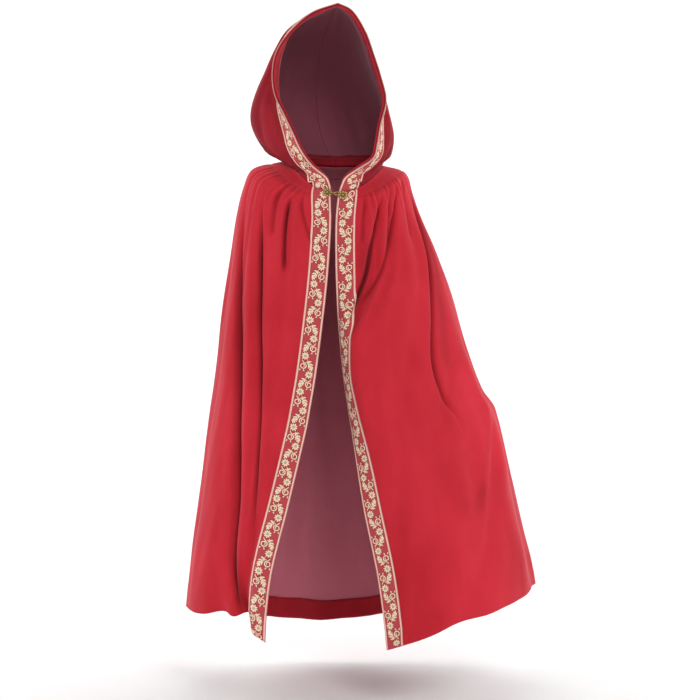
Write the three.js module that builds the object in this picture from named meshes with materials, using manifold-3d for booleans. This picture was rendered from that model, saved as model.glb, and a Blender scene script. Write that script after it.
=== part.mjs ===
import * as THREE from "three";
import { mergeVertices } from "three/addons/utils/BufferGeometryUtils.js";
import Module from "manifold-3d";

// A child's hooded velvet cape, worn open and held at the neck by a hook-and-eye clasp.
// Millimetres, +Z up, the front towards -Y and the viewer's right towards +X.
// The origin is the centre of the neck, where the shoulders carry the cape.

// Cloth and seams
const VELVET_WALL = 2;
const RIBBON_WALL = 1.2;
const FACING_WALL = 1.2;
const SEAM_GAP = 0.3;
const LAYER_GAP = 0.3;
const RIBBON_WIDTH = 29;
const RIBBON_COLUMNS = 3;
const FACING_COLUMNS = 2;
const HEM_TOP = 0.95;

// Gathers along the yoke seam. Each wave has four columns of points.
const GATHERS = 52;
const GATHERS_IN_A_FRONT = 14;
const GATHERS_UNDER_RIBBON = 3;
const GATHER_DEPTH = 2.1;
const COLUMNS_A_GATHER = 4;
const GATHER_ROWS = [
  { down: 0.0, share: 0.3 },
  { down: 0.012, share: 1.0 },
  { down: 0.03, share: 0.8 },
  { down: 0.06, share: 0.45 },
];
const GATHER_END = 0.12;

// Levels of mesh points down the body, after the gathers, and up the hood
const BODY_ROWS = [0.12, 0.2, 0.3, 0.42, 0.5, 0.54, 0.62, 0.7, 0.84, HEM_TOP, 1];
const YOKE_ROWS = [-0.05, -0.046, -0.024, 0];
const FRONT_COLUMNS = 27;
const BACK_COLUMNS = 52;
const YOKE_COLUMNS = 54;
const HOOD_COLUMNS = 13;

// Share of a quarter's size that a ring's handles take at its sides and back
const HANDLE = 0.56;

// Rings of the body from the neck seam to the hem, by the share of the length below the gathers.
// A ring runs from the left front edge round the back to the right front edge, and each lead is
// the way that it leaves its front edge.
const BODY_RINGS = [
  {
    down: -0.05,
    leftEdge: [-8, -80, -25], leftLead: [-40, 0, 0], leftSide: [-70, 4, 22], back: [-3, 62, 14],
    rightSide: [70, 4, 14], rightLead: [40, 0, -2], rightEdge: [3, -80, -27],
  },
  {
    down: 0,
    leftEdge: [-9, -85, -34], leftLead: [-54, -5, -3], leftSide: [-101, 8, 17], back: [-4, 92, -4],
    rightSide: [98, 8, 6], rightLead: [56, -5, -4], rightEdge: [1.5, -85, -37],
  },
  {
    down: 0.03,
    leftEdge: [-8.5, -89, -52], leftLead: [-72, -4, -2], leftSide: [-130, 8, 8], back: [-8, 107, -20],
    rightSide: [108, 8, -6], rightLead: [64, -5, -4], rightEdge: [-0.5, -88, -55],
  },
  {
    down: 0.06,
    leftEdge: [-8.2, -92, -69], leftLead: [-80, -4, 0], leftSide: [-142, 6, -18], back: [-11, 118, -42],
    rightSide: [113, 6, -24], rightLead: [68, -6, -3], rightEdge: [-1.5, -90, -72],
  },
  {
    down: 0.12,
    leftEdge: [-10, -97, -108], leftLead: [-86, -6, 0], leftSide: [-152, 5, -60], back: [-12, 128, -84],
    rightSide: [128, 5, -64], rightLead: [76, -10, 0], rightEdge: [-1.8, -93, -112],
  },
  {
    down: 0.2,
    leftEdge: [-14, -103, -160], leftLead: [-88, -8, 0], leftSide: [-161, 0, -112], back: [-8, 134, -138],
    rightSide: [150, 0, -114], rightLead: [82, -24, 0], rightEdge: [-0.5, -95, -163],
  },
  {
    down: 0.3,
    leftEdge: [-20.5, -110, -219], leftLead: [-88, -10, 0], leftSide: [-172, -5, -184], back: [0, 142, -204],
    rightSide: [178, -5, -184], rightLead: [44, -80, 0], rightEdge: [3.5, -94, -221],
  },
  {
    down: 0.42,
    leftEdge: [-30, -121, -293], leftLead: [-88, -12, 0], leftSide: [-181, -8, -268], back: [8, 151, -288],
    rightSide: [203, -8, -268], rightLead: [14, -98, 0], rightEdge: [10.5, -94, -296],
  },
  {
    down: 0.5,
    leftEdge: [-39, -129, -347], leftLead: [-85, -14, 0], leftSide: [-188, -8, -326], back: [15, 158, -347],
    rightSide: [224, -9, -325], rightLead: [26, -100, 0], rightEdge: [18.5, -101, -350],
  },
  {
    down: 0.54,
    leftEdge: [-44, -133, -374], leftLead: [-84, -14, 0], leftSide: [-192, -8, -354], back: [18, 161, -376],
    rightSide: [244, -10, -354], rightLead: [36, -98, 0], rightEdge: [23, -106, -378],
  },
  {
    down: 0.7,
    leftEdge: [-70, -149, -484], leftLead: [-78, -14, 0], leftSide: [-207, -3, -465], back: [24, 175, -490],
    rightSide: [270, -4, -462], rightLead: [100, -78, 0], rightEdge: [40, -132, -489],
  },
  {
    down: 0.84,
    leftEdge: [-94, -161, -580], leftLead: [-76, -10, 0], leftSide: [-221, 4, -560], back: [18, 188, -598],
    rightSide: [291, 4, -550], rightLead: [118, -78, 0], rightEdge: [60, -148, -586],
  },
  {
    down: 0.95,
    leftEdge: [-102.5, -169, -648], leftLead: [-70, 0, 18], leftSide: [-230, 8, -623], back: [12, 197, -684],
    rightSide: [302, 8, -602], rightLead: [116, -78, 24], rightEdge: [70.5, -156, -660],
  },
  {
    down: 1,
    leftEdge: [-104, -172, -681], leftLead: [-62, 8, 38], leftSide: [-233, 10, -656], back: [8, 200, -716],
    rightSide: [306, 10, -627], rightLead: [102, -84, 46], rightEdge: [74, -160, -695],
  },
];

// Rings of the hood from the neck seam to the ridge, where the last ring closes on itself.
const HOOD_RINGS = [
  {
    up: 0,
    leftEdge: [-8, -80, -24.6], leftLead: [-40, 0, 0], leftSide: [-70, 4, 22.6], back: [-3, 62, 14.6],
    rightSide: [70, 4, 14.6], rightLead: [40, 0, -2], rightEdge: [3, -80, -26.6],
  },
  {
    up: 0.025,
    leftEdge: [-9.5, -79.6, -16], leftLead: [-36, 2, 0], leftSide: [-74, 7, 30], back: [-4, 68, 22],
    rightSide: [72, 6, 21], rightLead: [36, 2, -2], rightEdge: [6, -79.4, -18],
  },
  {
    up: 0.056,
    leftEdge: [-14, -78, -5], leftLead: [-27, 12, -4], leftSide: [-103, 32, 32], back: [-8, 88, 26],
    rightSide: [80, 12, 26], rightLead: [25, 12, -7], rightEdge: [11, -77, -6],
  },
  {
    up: 0.136,
    leftEdge: [-35, -70, 13], leftLead: [-28, 34, -6], leftSide: [-116, 40, 43], back: [-16, 110, 38],
    rightSide: [84.5, 16, 40], rightLead: [22, 30, -13], rightEdge: [28, -71, 7],
  },
  {
    up: 0.214,
    leftEdge: [-51, -62, 34], leftLead: [-27, 38, -4], leftSide: [-126, 47, 60], back: [-24, 124, 57],
    rightSide: [86, 16, 54], rightLead: [12, 38, -8], rightEdge: [53, -60, 24],
  },
  {
    up: 0.303,
    leftEdge: [-64, -52, 61], leftLead: [-17, 44, -5], leftSide: [-132.5, 50, 80], back: [-30, 133, 82],
    rightSide: [85, 14, 70], rightLead: [10, 40, -3], rightEdge: [59.5, -50, 45],
  },
  {
    up: 0.397,
    leftEdge: [-78, -43, 90], leftLead: [-10, 46, -3], leftSide: [-131.5, 48, 102], back: [-33, 136, 108],
    rightSide: [80.5, 8, 93], rightLead: [8, 42, 0], rightEdge: [64.5, -43, 74],
  },
  {
    up: 0.497,
    leftEdge: [-93, -35, 122], leftLead: [5, 46, 0], leftSide: [-123, 42, 128], back: [-34, 133, 134],
    rightSide: [75, 0, 118], rightLead: [3, 40, 0], rightEdge: [73, -38, 111],
  },
  {
    up: 0.594,
    leftEdge: [-95.5, -34, 157], leftLead: [8, 44, 2], leftSide: [-111, 34, 155], back: [-32, 122, 162],
    rightSide: [64.5, -10, 150], rightLead: [2, 36, 2], rightEdge: [65, -36, 147],
  },
  {
    up: 0.678,
    leftEdge: [-88, -37, 186], leftLead: [4, 40, 4], leftSide: [-97, 26, 186], back: [-28, 104, 190],
    rightSide: [53, -14, 182], rightLead: [2, 32, 3], rightEdge: [54.5, -39, 179],
  },
  {
    up: 0.778,
    leftEdge: [-66, -44, 215], leftLead: [-10, 34, 5], leftSide: [-76, 14, 219], back: [-20, 76, 219],
    rightSide: [42, -18, 213], rightLead: [2, 26, 3], rightEdge: [42.5, -45, 211],
  },
  {
    up: 0.889,
    leftEdge: [-36, -50, 239], leftLead: [-6, 26, 3], leftSide: [-42, 0, 243], back: [-8, 40, 243],
    rightSide: [24, -24, 243], rightLead: [2, 20, 2], rightEdge: [23, -52, 241],
  },
  {
    up: 1,
    leftEdge: [2, -55, 252], leftLead: [-0.6, 18, 0.6], leftSide: [0, -22, 254], back: [-2, 10, 254],
    rightSide: [0, -22, 254], rightLead: [-0.6, 18, 0.6], rightEdge: [2, -55, 252],
  },
];

// Troughs in the body. A trough runs from around its first place on the ring to its last, with its
// depth and its half width at each end. The ring's left side is at 0.25 and its right at 0.75.
const BODY_FOLDS = [
  { name: "left long", top: 0.02, bottom: 1.1, from: 0.185, to: 0.052, deep: [3, 15], half: [9, 15] },
  { name: "left edge", top: 0.62, bottom: 1.3, from: 0.05, to: 0.045, deep: [2, 52], half: [10, 16] },
  { name: "left low", top: 0.5, bottom: 1.3, from: 0.105, to: 0.1, deep: [2, 24], half: [18, 34] },
  { name: "left middle", top: 0.05, bottom: 0.82, from: 0.12, to: 0.062, deep: [5, 6], half: [9, 14] },
  { name: "left slit", top: 0.01, bottom: 0.2, from: 0.073, to: 0.062, deep: [5, 4], half: [5, 6] },
  { name: "left short", top: 0.01, bottom: 0.13, from: 0.1, to: 0.097, deep: [3, 3], half: [7, 8] },
  { name: "left rear", top: 0.04, bottom: 1.1, from: 0.235, to: 0.2, deep: [3, 9], half: [12, 26] },
  { name: "back first", top: 0.04, bottom: 1.1, from: 0.32, to: 0.3, deep: [4, 15], half: [10, 27] },
  { name: "back second", top: 0.02, bottom: 1.1, from: 0.39, to: 0.375, deep: [4, 12], half: [10, 24] },
  { name: "back third", top: 0.05, bottom: 1.1, from: 0.455, to: 0.45, deep: [3, 17], half: [10, 30] },
  { name: "back fourth", top: 0.02, bottom: 1.1, from: 0.53, to: 0.54, deep: [4, 13], half: [10, 26] },
  { name: "back fifth", top: 0.05, bottom: 1.1, from: 0.6, to: 0.62, deep: [4, 16], half: [10, 30] },
  { name: "back sixth", top: 0.03, bottom: 1.1, from: 0.675, to: 0.69, deep: [3, 12], half: [11, 28] },
  { name: "right rear", top: 0.1, bottom: 1.1, from: 0.76, to: 0.775, deep: [2, 10], half: [12, 34] },
  { name: "right long", top: 0.02, bottom: 0.5, from: 0.822, to: 0.885, deep: [4, 4], half: [9, 16] },
  { name: "right middle", top: 0.02, bottom: 0.34, from: 0.868, to: 0.95, deep: [5, 5], half: [7, 10] },
  { name: "right deep", top: 0.01, bottom: 0.34, from: 0.9, to: 0.972, deep: [5, 13], half: [6, 9] },
  { name: "right low", top: 0.5, bottom: 1.1, from: 0.825, to: 0.93, deep: [3, 9], half: [16, 34] },
];

// Troughs in the hood, read as those of the body are, from the neck seam upwards.
const HOOD_FOLDS = [
  { name: "left nape", top: 0.05, bottom: 0.75, from: 0.27, to: 0.3, deep: [3, 3], half: [8, 12] },
  { name: "left ear", top: 0.12, bottom: 0.62, from: 0.17, to: 0.15, deep: [3, 2], half: [9, 9] },
  { name: "left back", top: 0.05, bottom: 0.7, from: 0.4, to: 0.41, deep: [4, 3], half: [10, 14] },
  { name: "right back", top: 0.05, bottom: 0.7, from: 0.6, to: 0.58, deep: [4, 3], half: [10, 14] },
  { name: "right nape", top: 0.05, bottom: 0.7, from: 0.72, to: 0.69, deep: [3, 3], half: [8, 12] },
];

// Clasp of two flower-edged plates, one with a hook and one with an eye
const PLATE_RADIUS = 6.5;
const PLATE_PETALS = 8;
const PLATE_SCALLOP = 0.35;
const PLATE_COLUMNS = 32;
const PLATE_TILT = 0.3;
const PLATE_NEIGHBOURS = 13;
const LEFT_PLATE_AT = [-13.6, -27.5];
const RIGHT_PLATE_AT = [9.4, -31.5];
const WIRE_RADIUS = 0.7;
const WIRE_SIDES = 8;
const PLATE_PROFILE = [
  { radius: 1.0, height: 0 },
  { radius: 1.0, height: 1.2 },
  { radius: 0.82, height: 2.2 },
  { radius: 0.56, height: 1.7 },
  { radius: 0.42, height: 2.6 },
  { radius: 0.2, height: 3.2 },
];
const PLATE_TOP = 3.3;
const WIRE_STEPS = 20;

// Wires in a plate's own frame: X to the right, Y up, Z out of the ribbon. The eye is a loop from
// the right plate towards the left, and the hook is a wire from the left plate that passes over the
// loop's end and turns back under it.
const PLATE_SPACING = RIGHT_PLATE_AT[0] - LEFT_PLATE_AT[0];
const PLATE_DROP = RIGHT_PLATE_AT[1] - LEFT_PLATE_AT[1];
const LINK_LEVEL = PLATE_DROP / 2;
const LINK_OVERLAP = 1.8;
const EYE_HALF = 2.1;
const EYE_SHOULDER = 0.9;
const EYE_LIFT = 1.7;
const EYE_ROOT = -PLATE_RADIUS + 2;
const EYE_LEG = -PLATE_RADIUS - 1;
const EYE_BEND = -PLATE_SPACING / 2 - LINK_OVERLAP;
const EYE_ROUND = 1.2;
const HOOK_LIFT = 2;
const HOOK_ROOT = PLATE_RADIUS - 2.4;
const HOOK_RISE = PLATE_RADIUS - 0.6;
const HOOK_REACH = PLATE_SPACING / 2 + LINK_OVERLAP;
const HOOK_ROUND = 1.6;
const HOOK_RETURN = 4.6;
const EYE_POINTS = [
  [EYE_ROOT, -EYE_HALF - LINK_LEVEL, EYE_LIFT],
  [EYE_LEG, -EYE_HALF - LINK_LEVEL, EYE_LIFT],
  [EYE_BEND + EYE_ROUND, -EYE_HALF * EYE_SHOULDER - LINK_LEVEL, EYE_LIFT],
  [EYE_BEND, -LINK_LEVEL, EYE_LIFT],
  [EYE_BEND + EYE_ROUND, EYE_HALF * EYE_SHOULDER - LINK_LEVEL, EYE_LIFT],
  [EYE_LEG, EYE_HALF - LINK_LEVEL, EYE_LIFT],
  [EYE_ROOT, EYE_HALF - LINK_LEVEL, EYE_LIFT],
];
const HOOK_POINTS = [
  [HOOK_ROOT, 0.4 * LINK_LEVEL, EYE_LIFT],
  [HOOK_RISE, 0.7 * LINK_LEVEL, EYE_LIFT + HOOK_LIFT / 2],
  [EYE_ROUND + PLATE_RADIUS, LINK_LEVEL, EYE_LIFT + HOOK_LIFT],
  [HOOK_REACH - HOOK_ROUND, LINK_LEVEL, EYE_LIFT + HOOK_LIFT],
  [HOOK_REACH, LINK_LEVEL, EYE_LIFT],
  [HOOK_REACH - HOOK_ROUND, LINK_LEVEL, EYE_LIFT - HOOK_LIFT],
  [HOOK_REACH - HOOK_RETURN, LINK_LEVEL, EYE_LIFT - HOOK_LIFT],
];

// Colours
const VELVET_RED = 0xb8232f;
const HEM_RED = 0x8f1620;
const RIBBON_CREAM = 0xd9a584;
const AGED_BRASS = 0x7a6232;

// A trough is worked out as far as this many half widths from its centre line.
const FOLD_REACH = 3;
// Near the hem the cloth in a trough is drawn up by this share of its depth, and at the back the
// hem rises by this much for each millimetre to the right.
const HEM_LIFT = 0.6;
const HEM_TILT = 0.1;
const LIFT_FROM = 0.72;
// The ribbon's reach is held where its edge runs on a slant.
const LEAST_SQUARE = 0.72;

const STATIONS = ["leftEdge", "leftLead", "leftSide", "back", "rightSide", "rightLead", "rightEdge"];
const NORMAL_STEP = 0.0015;
const LENGTH_STEPS = 240;
const RIDGE_SOFTNESS = 0.16;

function vector(list) {
  return new THREE.Vector3(...list);
}

function smooth(t) {
  const held = Math.min(1, Math.max(0, t));
  return held * held * (3 - 2 * held);
}

// The values of a table's row at any level, on a smooth curve through its rows.
function levelReader(table, key) {
  const rows = table.map((row) => ({ at: row[key], values: STATIONS.flatMap((name) => row[name]) }));
  const slopes = rows.map((row, i) => {
    const before = rows[Math.max(0, i - 1)];
    const after = rows[Math.min(rows.length - 1, i + 1)];
    return row.values.map((_, k) => (after.values[k] - before.values[k]) / (after.at - before.at));
  });
  const cache = new Map();
  return (at) => {
    if (cache.has(at)) return cache.get(at);
    let i = rows.findIndex((row) => row.at > at) - 1;
    if (i < -1) i = rows.length - 2;
    i = Math.max(0, i);
    const span = rows[i + 1].at - rows[i].at;
    const t = (at - rows[i].at) / span;
    const held = Math.min(1.02, Math.max(-0.02, t));
    const a = held * held * (3 - 2 * held);
    const b = held * (1 - held) * (1 - held) * span;
    const c = held * held * (held - 1) * span;
    const values = rows[i].values.map(
      (v, k) => v + (rows[i + 1].values[k] - v) * a + slopes[i][k] * b + slopes[i + 1][k] * c,
    );
    const found = Object.fromEntries(STATIONS.map((name, n) => [name, vector(values.slice(3 * n, 3 * n + 3))]));
    cache.set(at, found);
    return found;
  };
}

function bezier(start, startHandle, endHandle, end, t) {
  return new THREE.CubicBezierCurve3(start, startHandle, endHandle, end).getPoint(t);
}

// A point of one ring: quarters from front edge to side, side to back, back to side, side to edge.
// The tilt is the ring's rise towards the right as it passes the middle of the back.
function ringPoint(ring, around, tilt) {
  const held = Math.min(1, Math.max(0, around));
  const quarter = Math.min(3, Math.floor(held * 4));
  const t = held * 4 - quarter;
  const isLeft = quarter < 2;
  const edge = isLeft ? ring.leftEdge : ring.rightEdge;
  const lead = isLeft ? ring.leftLead : ring.rightLead;
  const side = isLeft ? ring.leftSide : ring.rightSide;
  const inFront = quarter === 0 || quarter === 3;
  const fromMiddle = isLeft ? t : 1 - t;
  if (inFront) {
    const sideHandle = new THREE.Vector3(side.x, side.y + HANDLE * (edge.y - side.y), side.z);
    return bezier(edge, edge.clone().add(lead), sideHandle, side, fromMiddle);
  }
  const sideHandle = new THREE.Vector3(side.x, side.y + HANDLE * (ring.back.y - side.y), side.z);
  const aside = HANDLE * (side.x - ring.back.x);
  const backHandle = new THREE.Vector3(ring.back.x + aside, ring.back.y, ring.back.z + tilt * aside);
  return bezier(side, sideHandle, backHandle, ring.back, fromMiddle);
}

// A cloth surface from its rings and folds, with its outward normals and its lengths round a ring.
class Cloth {
  constructor({ rings, key, folds, outward, ridge, lift, tilt }) {
    this.ringAt = levelReader(rings, key);
    this.folds = folds;
    this.outward = outward;
    this.ridge = ridge;
    this.lift = lift;
    this.tilt = tilt;
    this.lengths = new Map();
    this.first = rings[0][key];
    this.last = rings[rings.length - 1][key];
  }

  base(around, level) {
    return ringPoint(this.ringAt(level), around, this.tilt * this.lowness(level));
  }

  // Share of the hem's own effects, the tilt and the lift, that a level has.
  lowness(level) {
    return smooth((level - LIFT_FROM) / (this.last - LIFT_FROM));
  }

  normalOf(surface, around, level) {
    const round = surface(Math.min(1, around + NORMAL_STEP), level).sub(
      surface(Math.max(0, around - NORMAL_STEP), level),
    );
    const along = surface(around, Math.min(this.last, level + NORMAL_STEP)).sub(
      surface(around, Math.max(this.first, level - NORMAL_STEP)),
    );
    const normal = round.cross(along).multiplyScalar(this.outward).normalize();
    if (!this.ridge) return normal;
    const share = smooth((level - (this.last - RIDGE_SOFTNESS)) / RIDGE_SOFTNESS);
    return normal.lerp(new THREE.Vector3(0, 0, 1), share).normalize();
  }

  // Depth of all the troughs at a place, in millimetres.
  foldDepth(around, level) {
    let depth = 0;
    for (const fold of this.folds) {
      const t = (level - fold.top) / (fold.bottom - fold.top);
      if (t <= 0 || t >= 1) continue;
      const centre = fold.from + (fold.to - fold.from) * t;
      const half = fold.half[0] + (fold.half[1] - fold.half[0]) * t;
      const away = (this.lengthTo(around, level) - this.lengthTo(centre, level)) / half;
      if (Math.abs(away) > FOLD_REACH) continue;
      const ends = smooth(t * 4) * smooth((1 - t) * 5);
      depth += (fold.deep[0] + (fold.deep[1] - fold.deep[0]) * t) * ends * Math.exp(-away * away);
    }
    return depth;
  }

  folded(around, level) {
    const normal = this.normalOf((a, l) => this.base(a, l), around, level);
    const depth = this.foldDepth(around, level);
    const place = this.base(around, level).addScaledVector(normal, -depth);
    place.z += depth * this.lift * this.lowness(level);
    return place;
  }

  normal(around, level) {
    return this.normalOf((a, l) => this.folded(a, l), around, level);
  }

  table(level) {
    if (!this.lengths.has(level)) {
      const sums = [0];
      let before = this.base(0, level);
      for (let i = 1; i <= LENGTH_STEPS; i++) {
        const next = this.base(i / LENGTH_STEPS, level);
        sums.push(sums[i - 1] + next.distanceTo(before));
        before = next;
      }
      this.lengths.set(level, sums);
    }
    return this.lengths.get(level);
  }

  length(level) {
    return this.table(level)[LENGTH_STEPS];
  }

  lengthTo(around, level) {
    const sums = this.table(level);
    const place = Math.min(LENGTH_STEPS, Math.max(0, around * LENGTH_STEPS));
    const i = Math.min(LENGTH_STEPS - 1, Math.floor(place));
    return sums[i] + (sums[i + 1] - sums[i]) * (place - i);
  }

  // The place round the ring that lies a length from its left front edge.
  aroundAt(distance, level) {
    const sums = this.table(level);
    let low = 0;
    let high = LENGTH_STEPS;
    while (high - low > 1) {
      const middle = Math.floor((low + high) / 2);
      if (sums[middle] > distance) high = middle;
      else low = middle;
    }
    const share = (distance - sums[low]) / (sums[high] - sums[low]);
    return Math.min(1, Math.max(0, (low + share) / LENGTH_STEPS));
  }
}

const body = new Cloth({
  rings: BODY_RINGS, key: "down", folds: BODY_FOLDS, outward: 1, ridge: false, lift: HEM_LIFT, tilt: HEM_TILT,
});
const hood = new Cloth({
  rings: HOOD_RINGS, key: "up", folds: HOOD_FOLDS, outward: -1, ridge: true, lift: 0, tilt: 0,
});

// Share of the full gather depth at a level.
function gatherShare(down) {
  if (down < 0 || down >= GATHER_END) return 0;
  const i = GATHER_ROWS.findLastIndex((row) => row.down <= down);
  const here = GATHER_ROWS[i];
  const next = GATHER_ROWS[i + 1] ?? { down: GATHER_END, share: 0 };
  return here.share + ((next.share - here.share) * (down - here.down)) / (next.down - here.down);
}

// Height of the gathers' waves at a place, uneven from one gather to the next.
function gatherHeight(around, down) {
  const count = (body.lengthTo(around, 0) / body.length(0)) * GATHERS;
  if (count < GATHERS_UNDER_RIBBON || count > GATHERS - GATHERS_UNDER_RIBBON) return 0;
  const uneven = 0.8 + 0.2 * Math.sin(2.4 * Math.floor(count));
  return GATHER_DEPTH * uneven * gatherShare(down) * Math.sin(2 * Math.PI * count);
}

// One wall point: where it is on the cloth's face, and the way out of the cloth there.
function wallPoint(cloth, around, level) {
  const normal = cloth.normal(around, level);
  const place = cloth.folded(around, level);
  if (cloth === body) place.addScaledVector(normal, gatherHeight(around, level));
  return { around, place, normal };
}

// How far round the ring the ribbon reaches, so that it keeps its width square to the edge.
function ribbonReach(cloth, isLeft, level) {
  const at = isLeft ? 0 : 1;
  const inwards = isLeft ? NORMAL_STEP * 4 : 1 - NORMAL_STEP * 4;
  const round = cloth.base(inwards, level).sub(cloth.base(at, level)).normalize();
  const low = Math.max(cloth.first, level - NORMAL_STEP * 8);
  const high = Math.min(cloth.last, level + NORMAL_STEP * 8);
  const along = cloth.base(at, high).sub(cloth.base(at, low)).normalize();
  const square = Math.sqrt(1 - round.dot(along) ** 2);
  return RIBBON_WIDTH / Math.max(LEAST_SQUARE, square);
}

// Places round one ring for a panel between two lengths, with the ribbon's columns at a front edge.
function columnsBetween(cloth, level, { from, to, count, leftRibbon, rightRibbon }) {
  const whole = cloth.length(level);
  const places = [];
  let start = from;
  let end = to;
  if (leftRibbon) {
    const reach = ribbonReach(cloth, true, level);
    for (let i = 0; i < RIBBON_COLUMNS; i++) places.push((reach * i) / RIBBON_COLUMNS);
    start = reach;
  }
  const tail = [];
  if (rightRibbon) {
    const reach = ribbonReach(cloth, false, level);
    for (let i = RIBBON_COLUMNS - 1; i >= 0; i--) tail.push(whole - (reach * i) / RIBBON_COLUMNS);
    end = whole - reach;
  }
  for (let i = 0; i <= count; i++) places.push(start + ((end - start) * i) / count);
  return [...places, ...tail].map((distance) => cloth.aroundAt(distance, level));
}

// Places round a gathered level, at the quarters of each wave between two gathers.
function gatherColumns(level, { fromGather, toGather, leftRibbon, rightRibbon, gap }) {
  const whole = body.length(level);
  const places = [];
  const first = leftRibbon ? GATHERS_UNDER_RIBBON : fromGather;
  const last = rightRibbon ? GATHERS - GATHERS_UNDER_RIBBON : toGather;
  if (leftRibbon) {
    const reach = ribbonReach(body, true, level);
    for (let i = 0; i <= RIBBON_COLUMNS; i++) places.push(body.aroundAt((reach * i) / RIBBON_COLUMNS, level));
  }
  for (let i = first * COLUMNS_A_GATHER; i <= last * COLUMNS_A_GATHER; i++) {
    places.push(body.aroundAt((i / COLUMNS_A_GATHER / GATHERS) * body.length(0), 0));
  }
  if (rightRibbon) {
    const reach = ribbonReach(body, false, level);
    for (let i = RIBBON_COLUMNS; i >= 0; i--) {
      places.push(body.aroundAt(whole - (reach * i) / RIBBON_COLUMNS, level));
    }
  }
  const nudge = gap / 2 / whole;
  if (!leftRibbon) places[0] += nudge;
  if (!rightRibbon) places[places.length - 1] -= nudge;
  return places;
}

// A closed wall over rows of points. Each row may have its own number of points, and both faces
// follow the same triangles, so walls made from the same points never meet. Rows that run the other
// way than their cloth's own rows, from a row on, have their diagonals turned to match.
function wallMesh(rows, { outer, inner, reversedFrom = Infinity }) {
  const positions = [];
  const index = [];
  const lines = rows.map((row) =>
    row.map((point) => {
      const at = positions.length / 3;
      positions.push(...point.place.clone().addScaledVector(point.normal, outer).toArray());
      positions.push(...point.place.clone().addScaledVector(point.normal, inner).toArray());
      return { out: at, in: at + 1, along: 0 };
    }),
  );
  for (const line of lines) line.forEach((point, i) => (point.along = i / (line.length - 1)));
  const face = (a, b, c) => {
    index.push(a.out, b.out, c.out);
    index.push(a.in, c.in, b.in);
  };
  const rim = (a, b) => {
    index.push(a.out, a.in, b.out);
    index.push(b.out, a.in, b.in);
  };
  for (let r = 0; r + 1 < lines.length; r++) {
    const upper = lines[r];
    const lower = lines[r + 1];
    let i = 0;
    let j = 0;
    while (i + 1 < upper.length || j + 1 < lower.length) {
      const upperNext = i + 1 < upper.length ? upper[i + 1].along : Infinity;
      const lowerNext = j + 1 < lower.length ? lower[j + 1].along : Infinity;
      const upperFirst = reversedFrom <= r ? upperNext < lowerNext : upperNext <= lowerNext;
      if (upperFirst) {
        face(upper[i], upper[i + 1], lower[j]);
        i++;
      } else {
        face(upper[i], lower[j + 1], lower[j]);
        j++;
      }
    }
    rim(lower[0], upper[0]);
    rim(upper[upper.length - 1], lower[lower.length - 1]);
  }
  const top = lines[0];
  const bottom = lines[lines.length - 1];
  for (let i = 0; i + 1 < top.length; i++) rim(top[i], top[i + 1]);
  for (let i = bottom.length - 1; i > 0; i--) rim(bottom[i], bottom[i - 1]);
  const geometry = new THREE.BufferGeometry();
  geometry.setAttribute("position", new THREE.Float32BufferAttribute(positions, 3));
  geometry.setIndex(index);
  return facingOut(geometry);
}

// The same closed geometry with its faces turned outwards.
function facingOut(geometry) {
  const corner = [new THREE.Vector3(), new THREE.Vector3(), new THREE.Vector3()];
  const index = geometry.index.array;
  let volume = 0;
  for (let i = 0; i < index.length; i += 3) {
    corner.forEach((c, k) => c.fromBufferAttribute(geometry.attributes.position, index[i + k]));
    volume += corner[0].dot(corner[1].clone().cross(corner[2]));
  }
  if (volume < 0) {
    for (let i = 0; i < index.length; i += 3) [index[i + 1], index[i + 2]] = [index[i + 2], index[i + 1]];
  }
  geometry.computeVertexNormals();
  return geometry;
}

function material(color, roughness, metalness) {
  return new THREE.MeshStandardMaterial({ color, roughness, metalness });
}

function named(name, geometry, finish) {
  const mesh = new THREE.Mesh(geometry, finish);
  mesh.name = name;
  return mesh;
}

const velvet = () => material(VELVET_RED, 0.9, 0);
const ribbon = () => material(RIBBON_CREAM, 0.75, 0);
const hemVelvet = () => material(HEM_RED, 0.95, 0);
const brass = () => material(AGED_BRASS, 0.4, 0.9);

// Body panels. Each keeps its rows of points, which its ribbon and hem are made from.
const PANELS = [
  { name: "front_left", fromGather: 0, toGather: GATHERS_IN_A_FRONT, count: FRONT_COLUMNS, leftRibbon: true },
  {
    name: "back", fromGather: GATHERS_IN_A_FRONT, toGather: GATHERS - GATHERS_IN_A_FRONT,
    count: BACK_COLUMNS,
  },
  {
    name: "front_right", fromGather: GATHERS - GATHERS_IN_A_FRONT, toGather: GATHERS,
    count: FRONT_COLUMNS, rightRibbon: true,
  },
];

function splitAround(gather) {
  return body.aroundAt((gather / GATHERS) * body.length(0), 0);
}

function panelRows(panel) {
  const rows = GATHER_ROWS.map(({ down }) => {
    const level = down === 0 ? SEAM_GAP / 2 / body.length(1) : down;
    return { level, places: gatherColumns(level, { ...panel, gap: SEAM_GAP }) };
  });
  for (const level of BODY_ROWS) {
    const gap = SEAM_GAP / 2;
    const from = body.lengthTo(splitAround(panel.fromGather), level) + (panel.leftRibbon ? 0 : gap);
    const to = body.lengthTo(splitAround(panel.toGather), level) - (panel.rightRibbon ? 0 : gap);
    rows.push({ level, places: columnsBetween(body, level, { ...panel, from, to }) });
  }
  return rows.map(({ level, places }) => places.map((around) => wallPoint(body, around, level)));
}

function yokeRows() {
  return YOKE_ROWS.map((row) => {
    const level = row === 0 ? -SEAM_GAP / 2 / body.length(1) : row;
    const whole = body.length(level);
    const spread = { from: 0, to: whole, count: YOKE_COLUMNS, leftRibbon: true, rightRibbon: true };
    return columnsBetween(body, level, spread).map((around) => wallPoint(body, around, level));
  });
}

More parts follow.
